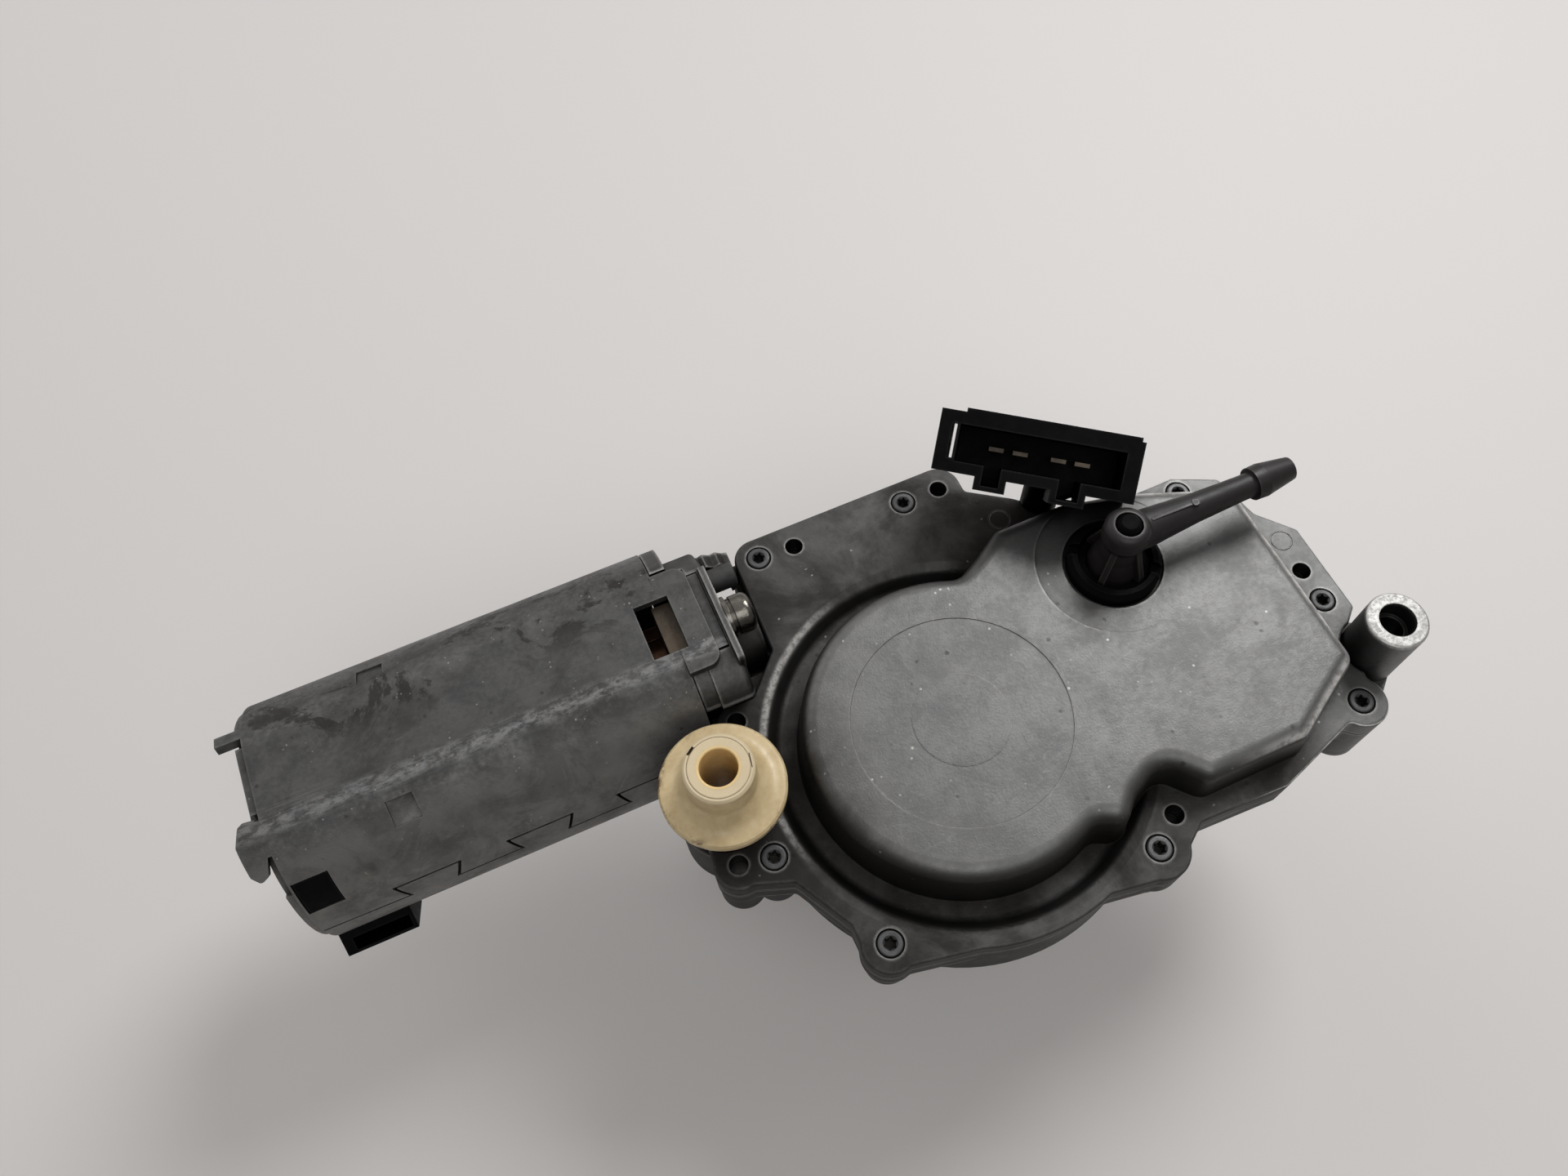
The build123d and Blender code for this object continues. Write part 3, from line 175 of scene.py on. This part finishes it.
bpy.context.scene.view_settings.view_transform = "Standard"
makeCamera()
makeLamps()
makeWorld()
makeFloor()
print("stage: camera, lamps and floor")


# shader groups that several finishes share

# A noise is listed as detail, roughness and distortion, and its scale comes first where it
# is fixed. A pair is where a mask starts and where it is full.
groupSetup = {
    "edgeWear": {"samples": 6, "corner": (0.93, 0.45), "chips": (4.0, 0.6),
                 "broken": (0.72, 1.15)},
    "grimeAndShade": {"samples": 6, "corner": (0.92, 0.30), "clouds": (4.0, 0.6),
              "patches": (0.35, 0.65), "least": 0.35, "joint": (0.50, 0.25)},
    "mottle": {"broad": (4.0, 0.6, 0.4), "broadShare": 0.65, "fine": (3.0, 0.6),
               "fineShare": 0.35, "tone": (0.34, 0.66)},
    "grain": {"skin": (3.0, 0.65), "spot": (0.16, 0.05), "clouds": (1.0,),
              "few": (0.52, 0.60)},
    "scratches": {"lines": (2.0, 0.5), "middle": 0.5, "thin": (0.012, 0.0),
                  "gapScale": 0.31, "clouds": (2.0,), "patches": (0.50, 0.62)},
}


def noiseNode(tree, vector, scale, detail=3.0, roughness=0.55, distortion=0.0):
    node = addNode(tree, "ShaderNodeTexNoise", {},
                   {"Detail": detail, "Roughness": roughness, "Distortion": distortion},
                   {"Vector": vector})
    if isinstance(scale, (int, float)):
        node.inputs["Scale"].default_value = scale
    else:
        tree.links.new(scale, node.inputs["Scale"])
    return node.outputs["Fac"]


def newGroup(name, numbers, results):
    group = bpy.data.node_groups.new(name, "ShaderNodeTree")
    group.interface.new_socket("Vector", in_out="INPUT", socket_type="NodeSocketVector")
    for label, value in numbers.items():
        socket = group.interface.new_socket(label, in_out="INPUT",
                                            socket_type="NodeSocketFloat")
        socket.default_value = value
    for label in results:
        group.interface.new_socket(label, in_out="OUTPUT", socket_type="NodeSocketFloat")
    given = group.nodes.new("NodeGroupInput").outputs
    made = group.nodes.new("NodeGroupOutput").inputs
    return group, given, made


def buildEdgeWear():
    # corners that stick out, broken up by a noise
    setup = groupSetup["edgeWear"]
    group, given, made = newGroup(
        "edgeWear", {"Width": 0.0008, "Break Up": 900.0, "Amount": 1.0}, ["Mask"])
    inside = addNode(group, "ShaderNodeAmbientOcclusion",
                     {"inside": True, "only_local": True, "samples": setup["samples"]}, {},
                     {"Distance": given["Width"]})
    corner = rangeNode(group, inside.outputs["AO"], *setup["corner"])
    chips = noiseNode(group, given["Vector"], given["Break Up"], *setup["chips"])
    broken = rangeNode(group, mathNode(group, "ADD", chips, corner), *setup["broken"])
    group.links.new(product(group, broken, corner, given["Amount"]), made["Mask"])
    return group


def buildGrimeAndShade():
    # dirt and painted shade in corners and under edges; a joint or deep recess is dark all
    # along
    setup = groupSetup["grimeAndShade"]
    group, given, made = newGroup(
        "grimeAndShade", {"Reach": 0.004, "Patch Size": 160.0, "Amount": 1.0}, ["Mask"])
    hidden = addNode(group, "ShaderNodeAmbientOcclusion", {"samples": setup["samples"]}, {},
                     {"Distance": given["Reach"]}).outputs["AO"]
    corner = rangeNode(group, hidden, *setup["corner"])
    clouds = noiseNode(group, given["Vector"], given["Patch Size"], *setup["clouds"])
    patches = rangeNode(group, clouds, *setup["patches"], setup["least"])
    joint = rangeNode(group, hidden, *setup["joint"])
    mask = mathNode(group, "MAXIMUM", product(group, corner, patches), joint)
    group.links.new(product(group, mask, given["Amount"]), made["Mask"])
    return group


def buildMottle():
    # two sizes of cloudy patches in one value around a half
    setup = groupSetup["mottle"]
    group, given, made = newGroup("mottle", {"Scale": 90.0, "Fine Scale": 520.0}, ["Tone"])
    broad = noiseNode(group, given["Vector"], given["Scale"], *setup["broad"])
    fine = noiseNode(group, given["Vector"], given["Fine Scale"], *setup["fine"])
    both = mathNode(group, "ADD", product(group, broad, setup["broadShare"]),
                    product(group, fine, setup["fineShare"]))
    group.links.new(rangeNode(group, both, *setup["tone"]), made["Tone"])
    return group


def buildGrain():
    # the skin's fine height, with a few pits
    setup = groupSetup["grain"]
    group, given, made = newGroup(
        "grain", {"Scale": 2400.0, "Pit Scale": 420.0, "Pits": 0.5}, ["Height", "Pit Mask"])
    skin = noiseNode(group, given["Vector"], given["Scale"], *setup["skin"])
    cells = addNode(group, "ShaderNodeTexVoronoi", {"feature": "F1"}, {"Randomness": 1.0},
                    {"Vector": given["Vector"], "Scale": given["Pit Scale"]})
    spot = rangeNode(group, cells.outputs["Distance"], *setup["spot"])
    clouds = noiseNode(group, given["Vector"], given["Pit Scale"], *setup["clouds"])
    few = rangeNode(group, clouds, *setup["few"])
    pit = product(group, spot, few, given["Pits"])
    group.links.new(mathNode(group, "SUBTRACT", skin, pit), made["Height"])
    group.links.new(pit, made["Pit Mask"])
    return group


def buildScratches():
    # thin lines in one direction, where a stretched vector is given
    setup = groupSetup["scratches"]
    group, given, made = newGroup("scratches", {"Scale": 60.0, "Density": 0.5}, ["Mask"])
    lines = noiseNode(group, given["Vector"], given["Scale"], *setup["lines"])
    away = mathNode(group, "ABSOLUTE", mathNode(group, "SUBTRACT", lines, setup["middle"]))
    sharp = rangeNode(group, away, *setup["thin"])
    gaps = product(group, given["Scale"], setup["gapScale"])
    clouds = noiseNode(group, given["Vector"], gaps, *setup["clouds"])
    patches = rangeNode(group, clouds, *setup["patches"])
    group.links.new(product(group, sharp, patches, given["Density"]), made["Mask"])
    return group


groups = {
    "edgeWear": buildEdgeWear(),
    "grimeAndShade": buildGrimeAndShade(),
    "mottle": buildMottle(),
    "grain": buildGrain(),
    "scratches": buildScratches(),
}
print("stage: shader groups")


# finishes, which start from the base look and the nodes that every finish has

# dark and light are the two tones of the mottle; rough is the roughness of the light and
# of the dark tone; mottle is its two scales; grain is its scale, its pits' scale and how
# deep they are; bump is in millimetres; a finish with no wear tone has no worn edges
baseLook = {
    "dark": (0.10, 0.10, 0.10), "light": (0.20, 0.20, 0.20), "metal": 0.0,
    "rough": (0.45, 0.6), "specular": 0.5,
    "mottle": (90.0, 520.0), "grain": (2400.0, 420.0, 0.0), "bump": 0.05,
    "wear": None, "wearWidth": 0.0007, "wearAmount": 0.0, "wearRough": 0.3,
    "grimeAndShadeTone": (0.02, 0.018, 0.015), "grimeAndShadeReach": 0.004, "grimeAndShadeAmount": 0.5,
    "scratches": 0.0, "scratchTone": (0.5, 0.5, 0.5),
    "scratchScale": (1, 1, 1), "scratchTurn": (0, 0, 0),
    "softEdge": 0.00015,
}

millimetre = 0.001
bumpStrength = 0.8
bevelSamples = 4

# the places of the Mix node's sockets for colours
mixSockets = {"factor": 0, "first": 6, "second": 7, "result": 2}

# the share of a band on each side of its middle where it is full
bandCore = 0.2

speckSetup = {"spot": (0.22, 0.08), "spread": 0.35, "noise": (3.0, 0.7), "fade": 0.08}


def addGroup(tree, name, values, vector):
    return addNode(tree, "ShaderNodeGroup", {"node_tree": groups[name]}, values,
                   {"Vector": vector}).outputs


def mixColour(tree, factor, first, second):
    node = addNode(tree, "ShaderNodeMix", {"data_type": "RGBA"})
    for label, value in (("first", first), ("second", second)):
        socket = node.inputs[mixSockets[label]]
        if isinstance(value, tuple):
            socket.default_value = (*value, 1.0)
        else:
            tree.links.new(value, socket)
    tree.links.new(factor, node.inputs[mixSockets["factor"]])
    return node.outputs[mixSockets["result"]]


def stretched(tree, vector, scale, turn=(0, 0, 0)):
    node = addNode(tree, "ShaderNodeMapping", {}, {"Scale": scale, "Rotation": turn},
                   {"Vector": vector})
    return node.outputs["Vector"]


def distanceFrom(tree, vector, axis):
    # distance in plan from an upright axis
    flat = stretched(tree, vector, (1.0, 1.0, 0.0))
    node = addNode(tree, "ShaderNodeVectorMath", {"operation": "DISTANCE"},
                   {1: (*axis, 0.0)}, {0: flat})
    return node.outputs["Value"]


def bandMask(tree, value, centre, halfWidth):
    away = mathNode(tree, "ABSOLUTE", mathNode(tree, "SUBTRACT", value, centre))
    return rangeNode(tree, away, halfWidth, halfWidth * bandCore)


def cloudMask(tree, vector, effect):
    # an effect's patches, with what is left of it between them
    noise = noiseNode(tree, vector, *effect["noise"])
    return rangeNode(tree, noise, *effect["patches"], effect.get("least", 0.0))


def speckMask(tree, vector, effect):
    cells = addNode(tree, "ShaderNodeTexVoronoi", {"feature": "F1"},
                    {"Randomness": 1.0, "Scale": effect["scale"]}, {"Vector": vector})
    spot = rangeNode(tree, cells.outputs["Distance"], *speckSetup["spot"])
    clouds = noiseNode(tree, vector, effect["scale"] * speckSetup["spread"],
                       *speckSetup["noise"])
    where = rangeNode(tree, clouds, effect["few"], effect["few"] + speckSetup["fade"])
    return product(tree, spot, where)


def openFinish(name, look):
    # the nodes every finish starts from
    look = {**baseLook, **look}
    material = bpy.data.materials.new(name)
    material.use_nodes = True
    tree = material.node_tree
    coordinates = addNode(tree, "ShaderNodeTexCoord").outputs
    vector = coordinates["Object"]
    mottleScale, fineScale = look["mottle"]
    grainScale, pitScale, pits = look["grain"]
    smooth, rough = look["rough"]
    mottle = addGroup(tree, "mottle", {"Scale": mottleScale, "Fine Scale": fineScale},
                      vector)["Tone"]
    grain = addGroup(tree, "grain",
                     {"Scale": grainScale, "Pit Scale": pitScale, "Pits": pits}, vector)
    # the grime mask is dirt and also painted shade in corners and recesses
    grimeAndShade = addGroup(tree, "grimeAndShade",
                     {"Reach": look["grimeAndShadeReach"], "Amount": look["grimeAndShadeAmount"]}, vector)
    colour = mixColour(tree, mottle, look["dark"], look["light"])
    if look["scratches"] > 0:
        along = stretched(tree, vector, look["scratchScale"], look["scratchTurn"])
        lines = addGroup(tree, "scratches", {"Density": look["scratches"]}, along)
        colour = mixColour(tree, lines["Mask"], colour, look["scratchTone"])
    return {
        "material": material, "tree": tree, "look": look, "vector": vector,
        "normal": coordinates["Normal"], "grain": grain, "pits": pits, "grimeAndShade": grimeAndShade["Mask"],
        "colour": colour, "roughness": rangeNode(tree, mottle, 0.0, 1.0, rough, smooth),
    }


def tint(made, mask, effect):
    # an effect's tone goes into the colour where its mask is bright
    factor = product(made["tree"], mask, effect["amount"])
    made["colour"] = mixColour(made["tree"], factor, made["colour"], effect["tone"])


def roughen(made, mask, amount):
    more = product(made["tree"], mask, amount)
    made["roughness"] = mathNode(made["tree"], "ADD", made["roughness"], more)


def closeFinish(made):
    # dirt and painted shade, worn corners, bump and the shader's own values
    tree, look = made["tree"], made["look"]
    colour, roughness = made["colour"], made["roughness"]
    if made["pits"] > 0:
        colour = mixColour(tree, made["grain"]["Pit Mask"], colour, look["grimeAndShadeTone"])
    colour = mixColour(tree, made["grimeAndShade"], colour, look["grimeAndShadeTone"])
    if look["wear"]:
        worn = addGroup(tree, "edgeWear",
                        {"Width": look["wearWidth"], "Amount": look["wearAmount"]},
                        made["vector"])["Mask"]
        clearOfGrimeAndShade = mathNode(tree, "SUBTRACT", 1.0, made["grimeAndShade"])
        worn = product(tree, worn, product(tree, clearOfGrimeAndShade, clearOfGrimeAndShade))
        colour = mixColour(tree, worn, colour, look["wear"])
        smoother = product(tree, worn, look["wearRough"])
        roughness = mathNode(tree, "SUBTRACT", roughness, smoother)
    rounded = addNode(tree, "ShaderNodeBevel", {"samples": bevelSamples},
                      {"Radius": look["softEdge"]})
    bump = addNode(tree, "ShaderNodeBump", {},
                   {"Strength": bumpStrength, "Distance": look["bump"] * millimetre},
                   {"Height": made["grain"]["Height"], "Normal": rounded.outputs["Normal"]})
    shader = tree.nodes["Principled BSDF"].inputs
    tree.links.new(colour, shader["Base Color"])
    tree.links.new(roughness, shader["Roughness"])
    tree.links.new(bump.outputs["Normal"], shader["Normal"])
    shader["Metallic"].default_value = look["metal"]
    shader["Specular IOR Level"].default_value = look["specular"]
    return made["material"]


# the grey casting of the cover and the housing

castLook = {
    "dark": (0.110, 0.110, 0.109), "light": (0.140, 0.140, 0.138), "metal": 0.84,
    "rough": (0.44, 0.49),
    "mottle": (120.0, 900.0), "grain": (2600.0, 260.0, 0.5), "bump": 0.05,
    "wear": (0.46, 0.455, 0.44), "wearWidth": 0.0008, "wearAmount": 0.55,
    "wearRough": 0.12,
    "grimeAndShadeTone": (0.010, 0.009, 0.0075), "grimeAndShadeReach": 0.007, "grimeAndShadeAmount": 1.0,
    "scratches": 0.07, "scratchTone": (0.34, 0.34, 0.33),
    "scratchScale": (1.0, 4.0, 1.0), "scratchTurn": (0, 0, 0.6),
    "softEdge": 0.0004,
}

# the wheel's axis in plan, then where each effect starts and where it is full: along X
# for the ends, along Z for heights
castPlaces = {
    "wheelAxis": (-0.0398, -0.016),
    "motorEnd": (-0.056, -0.068),
    "soiledAndShadedEnd": (0.008, 0.024),
    "glintEnd": (-0.004, 0.016),
    "underFlange": (0.0300, 0.0285),
    "lowArea": (0.0425, 0.0345),
    "pillarTop": (0.0438, 0.0446),
    "pillarEnd": (0.0, 0.02),
}

castEffects = {
    "darkerLowAndMotorEnd": {"underShare": 0.45, "noise": (140.0, 6.0, 0.7, 0.5), "patches": (0.40, 0.64),
               "least": 0.55, "amount": 1.0, "tone": (0.050, 0.048, 0.045)},
    "dustAndPaintedShading": {"shaftEndShare": 0.12, "noise": (55.0, 5.0, 0.65, 0.4), "patches": (0.35, 0.62),
             "least": 0.55, "amount": 0.94, "tone": (0.020, 0.0185, 0.017), "rougher": 0.14},
    "paintedWallShade": {"upright": (0.95, 0.45), "amount": 0.82, "tone": (0.022, 0.0205, 0.019)},
    "paintedEdgeGlint": {"slope": 0.70, "slopeRange": 0.27, "noise": (420.0, 5.0, 0.7),
                   "patches": (0.34, 0.58), "least": 0.35, "amount": 0.9,
                   "tone": (0.80, 0.79, 0.77)},
    "ridgeHighlight": {"radius": 0.0353, "halfWidth": 0.0010, "height": (0.0318, 0.0330),
              "alongX": (-0.046, -0.058), "alongY": (-0.030, -0.014),
              "noise": (800.0, 6.0, 0.7), "patches": (0.36, 0.60), "least": 0.35,
              "amount": 0.5, "tone": (0.50, 0.49, 0.47)},
    "bareTop": {"noise": (900.0, 5.0, 0.8), "patches": (0.40, 0.60), "least": 0.35,
                "amount": 1.0, "tone": (0.44, 0.435, 0.42)},
    "specks": {"scale": 620.0, "few": 0.60, "amount": 0.6, "tone": (0.46, 0.45, 0.43)},
}


def dieCast():
    made = openFinish("dieCast", castLook)
    tree, vector = made["tree"], made["vector"]
    place = splitVector(tree, vector)
    facing = splitVector(tree, made["normal"])["Z"]

    # darker in cloudy patches towards the motor and below the flange
    effect = castEffects["darkerLowAndMotorEnd"]
    under = rangeNode(tree, place["Z"], *castPlaces["underFlange"])
    darkerWhere = mathNode(tree, "MAXIMUM", rangeNode(tree, place["X"], *castPlaces["motorEnd"]),
                      product(tree, under, effect["underShare"]))
    tint(made, product(tree, darkerWhere, cloudMask(tree, vector, effect)), effect)

    # flange and channel round the dome: dirt and painted shade, except at the shaft's end
    effect = castEffects["dustAndPaintedShading"]
    soiledAndShaded = rangeNode(tree, place["X"], *castPlaces["soiledAndShadedEnd"], 1.0, effect["shaftEndShare"])
    low = rangeNode(tree, place["Z"], *castPlaces["lowArea"])
    dustyAndShaded = product(tree, low, soiledAndShaded, cloudMask(tree, vector, effect))
    tint(made, dustyAndShaded, effect)
    roughen(made, dustyAndShaded, effect["rougher"])

    # upright walls are painted darker: painted shade for walls facing away from the light
    effect = castEffects["paintedWallShade"]
    tint(made, product(tree, rangeNode(tree, facing, *effect["upright"]), soiledAndShaded), effect)

    # painted highlight: a bright glint painted along rounded edges at the shaft's end
    effect = castEffects["paintedEdgeGlint"]
    rounded = bandMask(tree, facing, effect["slope"], effect["slopeRange"])
    tint(made, product(tree, rounded, rangeNode(tree, place["X"], *castPlaces["glintEnd"]),
                       cloudMask(tree, vector, effect)), effect)

    # painted highlight: a bright broken line on the ridge outside the channel, towards the
    # motor
    effect = castEffects["ridgeHighlight"]
    away = distanceFrom(tree, vector, castPlaces["wheelAxis"])
    tint(made, product(tree, bandMask(tree, away, effect["radius"], effect["halfWidth"]),
                       rangeNode(tree, place["Z"], *effect["height"]),
                       rangeNode(tree, place["X"], *effect["alongX"]),
                       rangeNode(tree, place["Y"], *effect["alongY"]),
                       cloudMask(tree, vector, effect)), effect)

    # the pillar's top is bare, rough metal
    effect = castEffects["bareTop"]
    tint(made, product(tree, rangeNode(tree, place["Z"], *castPlaces["pillarTop"]),
                       rangeNode(tree, place["X"], *castPlaces["pillarEnd"]),
                       cloudMask(tree, vector, effect)), effect)

    effect = castEffects["specks"]
    tint(made, speckMask(tree, vector, effect), effect)
    return closeFinish(made)


# the zinc-plated sheet of the motor casing

sheetLook = {
    "dark": (0.056, 0.056, 0.056), "light": (0.094, 0.094, 0.092), "metal": 0.7,
    "rough": (0.40, 0.55),
    "mottle": (150.0, 1100.0), "grain": (3000.0, 300.0, 0.5), "bump": 0.04,
    "wear": (0.24, 0.24, 0.235), "wearWidth": 0.0005, "wearAmount": 0.3,
    "wearRough": 0.10,
    "grimeAndShadeTone": (0.010, 0.009, 0.008), "grimeAndShadeReach": 0.0022, "grimeAndShadeAmount": 1.0,
    "scratches": 0.25, "scratchTone": (0.26, 0.26, 0.25), "scratchScale": (0.15, 6.0, 6.0),
    "softEdge": 0.0002,
}

# the crease beside the upper flat in Y, then where each effect starts and where it is
# full: across the casing in Y, and above the crease in Z
sheetPlaces = {
    "crease": 0.0140,
    "creaseHeight": (0.036, 0.040),
    "nearSide": (0.0120, 0.0050),
    "farSide": (0.022, 0.030),
}

sheetEffects = {
    "film": {"stretch": (0.45, 1.0, 1.0), "noise": (95.0, 7.0, 0.72, 0.4),
             "patches": (0.40, 0.70), "amount": 0.5, "tone": (0.040, 0.037, 0.033),
             "rougher": 0.12},
    "dustAndPaintedShading": {"noise": (130.0, 6.0, 0.7), "patches": (0.30, 0.62), "least": 0.4,
             "amount": 0.75, "tone": (0.215, 0.21, 0.20)},
    "stain": {"nearShare": 0.25, "noise": (62.0, 7.0, 0.72, 0.9), "patches": (0.545, 0.60),
              "amount": 0.8, "tone": (0.016, 0.013, 0.011)},
    "crease": {"halfWidth": 0.0024, "stretch": (0.5, 1.0, 1.0), "noise": (700.0, 6.0, 0.75),
               "patches": (0.40, 0.62), "amount": 0.55, "tone": (0.30, 0.30, 0.30)},
    "specks": {"scale": 900.0, "few": 0.55, "amount": 0.7, "tone": (0.34, 0.32, 0.28)},
}


def zincSheet():
    made = openFinish("zincSheet", sheetLook)
    tree, vector = made["tree"], made["vector"]
    place = splitVector(tree, vector)

    # a film in streaks along the casing
    effect = sheetEffects["film"]
    film = cloudMask(tree, stretched(tree, vector, effect["stretch"]), effect)
    tint(made, film, effect)
    roughen(made, film, effect["rougher"])

    # the round near side is paler: dust, and painted light on that side
    effect = sheetEffects["dustAndPaintedShading"]
    tint(made, product(tree, rangeNode(tree, place["Y"], *sheetPlaces["nearSide"]),
                       cloudMask(tree, vector, effect)), effect)

    # brown-black patches, most of them on the far side of the flat
    effect = sheetEffects["stain"]
    farSide = rangeNode(tree, place["Y"], *sheetPlaces["farSide"], effect["nearShare"])
    tint(made, product(tree, cloudMask(tree, vector, effect), farSide), effect)

    # painted highlight: a bright band where the upper flat turns into the round side
    effect = sheetEffects["crease"]
    along = stretched(tree, vector, effect["stretch"])
    tint(made, product(tree, bandMask(tree, place["Y"], sheetPlaces["crease"],
                                      effect["halfWidth"]),
                       rangeNode(tree, place["Z"], *sheetPlaces["creaseHeight"]),
                       cloudMask(tree, along, effect)), effect)

    effect = sheetEffects["specks"]
    tint(made, speckMask(tree, vector, effect), effect)
    return closeFinish(made)


# the plastics

plasticLook = {
    "rough": (0.38, 0.5), "grain": (3200.0, 300.0, 0.0), "bump": 0.03, "grimeAndShadeAmount": 0.2,
    "softEdge": 0.0002,
}

creamLook = {
    **plasticLook, "dark": (0.50, 0.38, 0.20), "light": (0.64, 0.51, 0.30),
    "rough": (0.30, 0.44), "mottle": (110.0, 700.0),
    "grimeAndShadeTone": (0.10, 0.055, 0.022), "grimeAndShadeReach": 0.006, "grimeAndShadeAmount": 0.8,
}

# the bush's axis in plan, then where each effect starts and where it is full: out from
# the axis, and for the collar's face also in Z
creamPlaces = {
    "axis": (-0.0827, -0.010),
    "bore": (0.0040, 0.0034),
    "face": (0.0036, 0.0041),
    "faceHeight": (0.0512, 0.0520),
    "rim": (0.0097, 0.0113),
}

creamEffects = {
    "bore": {"amount": 0.8, "tone": (0.95, 0.68, 0.30)},
    "face": {"amount": 0.55, "tone": (0.72, 0.62, 0.44)},
    "smears": {"noise": (260.0, 6.0, 0.7, 0.3), "patches": (0.50, 0.66), "amount": 1.0,
               "tone": (0.085, 0.045, 0.016)},
}


def creamPlastic():
    made = openFinish("creamPlastic", creamLook)
    tree, vector = made["tree"], made["vector"]
    away = distanceFrom(tree, vector, creamPlaces["axis"])
    height = splitVector(tree, vector)["Z"]

    # amber in the bore, paler at the collar's face
    tint(made, rangeNode(tree, away, *creamPlaces["bore"]), creamEffects["bore"])
    tint(made, product(tree, rangeNode(tree, height, *creamPlaces["faceHeight"]),
                       rangeNode(tree, away, *creamPlaces["face"])), creamEffects["face"])

    # brown smears on the edge of the rim
    effect = creamEffects["smears"]
    tint(made, product(tree, cloudMask(tree, vector, effect),
                       rangeNode(tree, away, *creamPlaces["rim"])), effect)
    return closeFinish(made)


# finishes that need no effects of their own
plainLooks = {
    "darkScrew": {
        "dark": (0.05, 0.05, 0.051), "light": (0.095, 0.095, 0.096), "metal": 0.6,
        "rough": (0.38, 0.5), "grimeAndShadeAmount": 0.9,
        "wear": (0.26, 0.26, 0.25), "wearWidth": 0.0004, "wearAmount": 0.45,
    },
    "brightScrew": {
        "dark": (0.10, 0.094, 0.082), "light": (0.20, 0.19, 0.17), "metal": 1.0,
        "rough": (0.16, 0.26), "grimeAndShadeAmount": 0.9,
    },
    "gasketPaper": {
        "dark": (0.03, 0.03, 0.03), "light": (0.07, 0.07, 0.07), "rough": (0.75, 0.9),
    },
    "gearNylon": {
        **plasticLook, "dark": (0.62, 0.59, 0.49), "light": (0.74, 0.71, 0.62),
    },
    "groundSteel": {
        "dark": (0.42, 0.42, 0.42), "light": (0.6, 0.6, 0.6), "metal": 1.0,
        "rough": (0.2, 0.35),
        "scratches": 0.5, "scratchTone": (0.3, 0.3, 0.3), "scratchScale": (9.0, 9.0, 0.3),
    },
    "sinteredBronze": {
        "dark": (0.30, 0.20, 0.10), "light": (0.46, 0.33, 0.18), "metal": 0.9,
        "rough": (0.4, 0.55), "grain": (2600.0, 900.0, 0.5), "bump": 0.05,
    },
    "stampedBrass": {
        "dark": (0.035, 0.026, 0.017), "light": (0.085, 0.062, 0.040), "metal": 0.4,
        "rough": (0.4, 0.55),
    },
    "turnedCopper": {
        "dark": (0.10, 0.052, 0.030), "light": (0.20, 0.11, 0.07), "metal": 0.9,
        "rough": (0.3, 0.42),
    },
    "springSteel": {
        "dark": (0.35, 0.35, 0.35), "light": (0.5, 0.5, 0.5), "metal": 1.0,
        "rough": (0.25, 0.35),
    },
    "sealRubber": {
        "dark": (0.012, 0.012, 0.012), "light": (0.028, 0.027, 0.026),
        "rough": (0.6, 0.8), "bump": 0.06,
    },
    "blackPlastic": {
        **plasticLook, "dark": (0.0012, 0.0012, 0.0014), "light": (0.0028, 0.0028, 0.0031),
        "rough": (0.48, 0.58), "specular": 0.06,
        "wear": (0.02, 0.02, 0.02), "wearWidth": 0.0005, "wearAmount": 0.6,
        "grimeAndShadeTone": (0.0006, 0.0006, 0.0006), "grimeAndShadeReach": 0.010, "grimeAndShadeAmount": 1.0,
    },
    "elbowPlastic": {
        **plasticLook, "dark": (0.009, 0.0078, 0.0076), "light": (0.018, 0.0155, 0.015),
        "specular": 0.35,
        "wear": (0.09, 0.08, 0.075), "wearWidth": 0.0005, "wearAmount": 0.6,
    },
    "plugPlastic": {
        **plasticLook, "dark": (0.0015, 0.0015, 0.0017), "light": (0.003, 0.003, 0.0034),
        "rough": (0.50, 0.60), "specular": 0.05,
        "grimeAndShadeTone": (0.001, 0.001, 0.001), "grimeAndShadeReach": 0.008, "grimeAndShadeAmount": 1.0,
    },
    "ferrite": {
        "dark": (0.03, 0.03, 0.032), "light": (0.07, 0.07, 0.072), "metal": 0.3,
        "rough": (0.5, 0.65),
    },
    "pressedCarbon": {
        "dark": (0.02, 0.02, 0.021), "light": (0.05, 0.05, 0.052), "rough": (0.4, 0.55),
    },
    "enamelledWire": {
        "dark": (0.10, 0.035, 0.016), "light": (0.19, 0.075, 0.032), "metal": 0.7,
        "rough": (0.3, 0.42),
    },
    "laminatedCore": {
        "dark": (0.16, 0.16, 0.17), "light": (0.3, 0.3, 0.31), "metal": 0.9,
        "rough": (0.4, 0.55),
    },
}

slotFinishes = {
    "die_cast": "dieCast", "zinc_steel": "zincSheet", "dark_screw": "darkScrew",
    "bright_screw": "brightScrew", "gasket_paper": "gasketPaper",
    "gear_nylon": "gearNylon", "steel": "groundSteel",
    "sintered_bronze": "sinteredBronze", "contact_brass": "stampedBrass",
    "commutator_copper": "turnedCopper", "spring_steel": "springSteel",
    "seal_rubber": "sealRubber", "black_plastic": "blackPlastic",
    "elbow_plastic": "elbowPlastic", "plug_plastic": "plugPlastic",
    "cream_plastic": "creamPlastic", "ferrite": "ferrite",
    "core_steel": "laminatedCore", "copper_wire": "enamelledWire",
    "carbon": "pressedCarbon",
}

finishes = {"dieCast": dieCast(), "zincSheet": zincSheet(), "creamPlastic": creamPlastic()}
for finishName, plainLook in plainLooks.items():
    finishes[finishName] = closeFinish(openFinish(finishName, plainLook))

subparts = frame["record"]["subparts"]
for subpart in subparts:
    target = nodes[subpart["node"]]
    target.data.materials.clear()
    target.data.materials.append(finishes[slotFinishes[subpart["material_slot"]]])
print("stage: finishes on", len(subparts), "nodes")
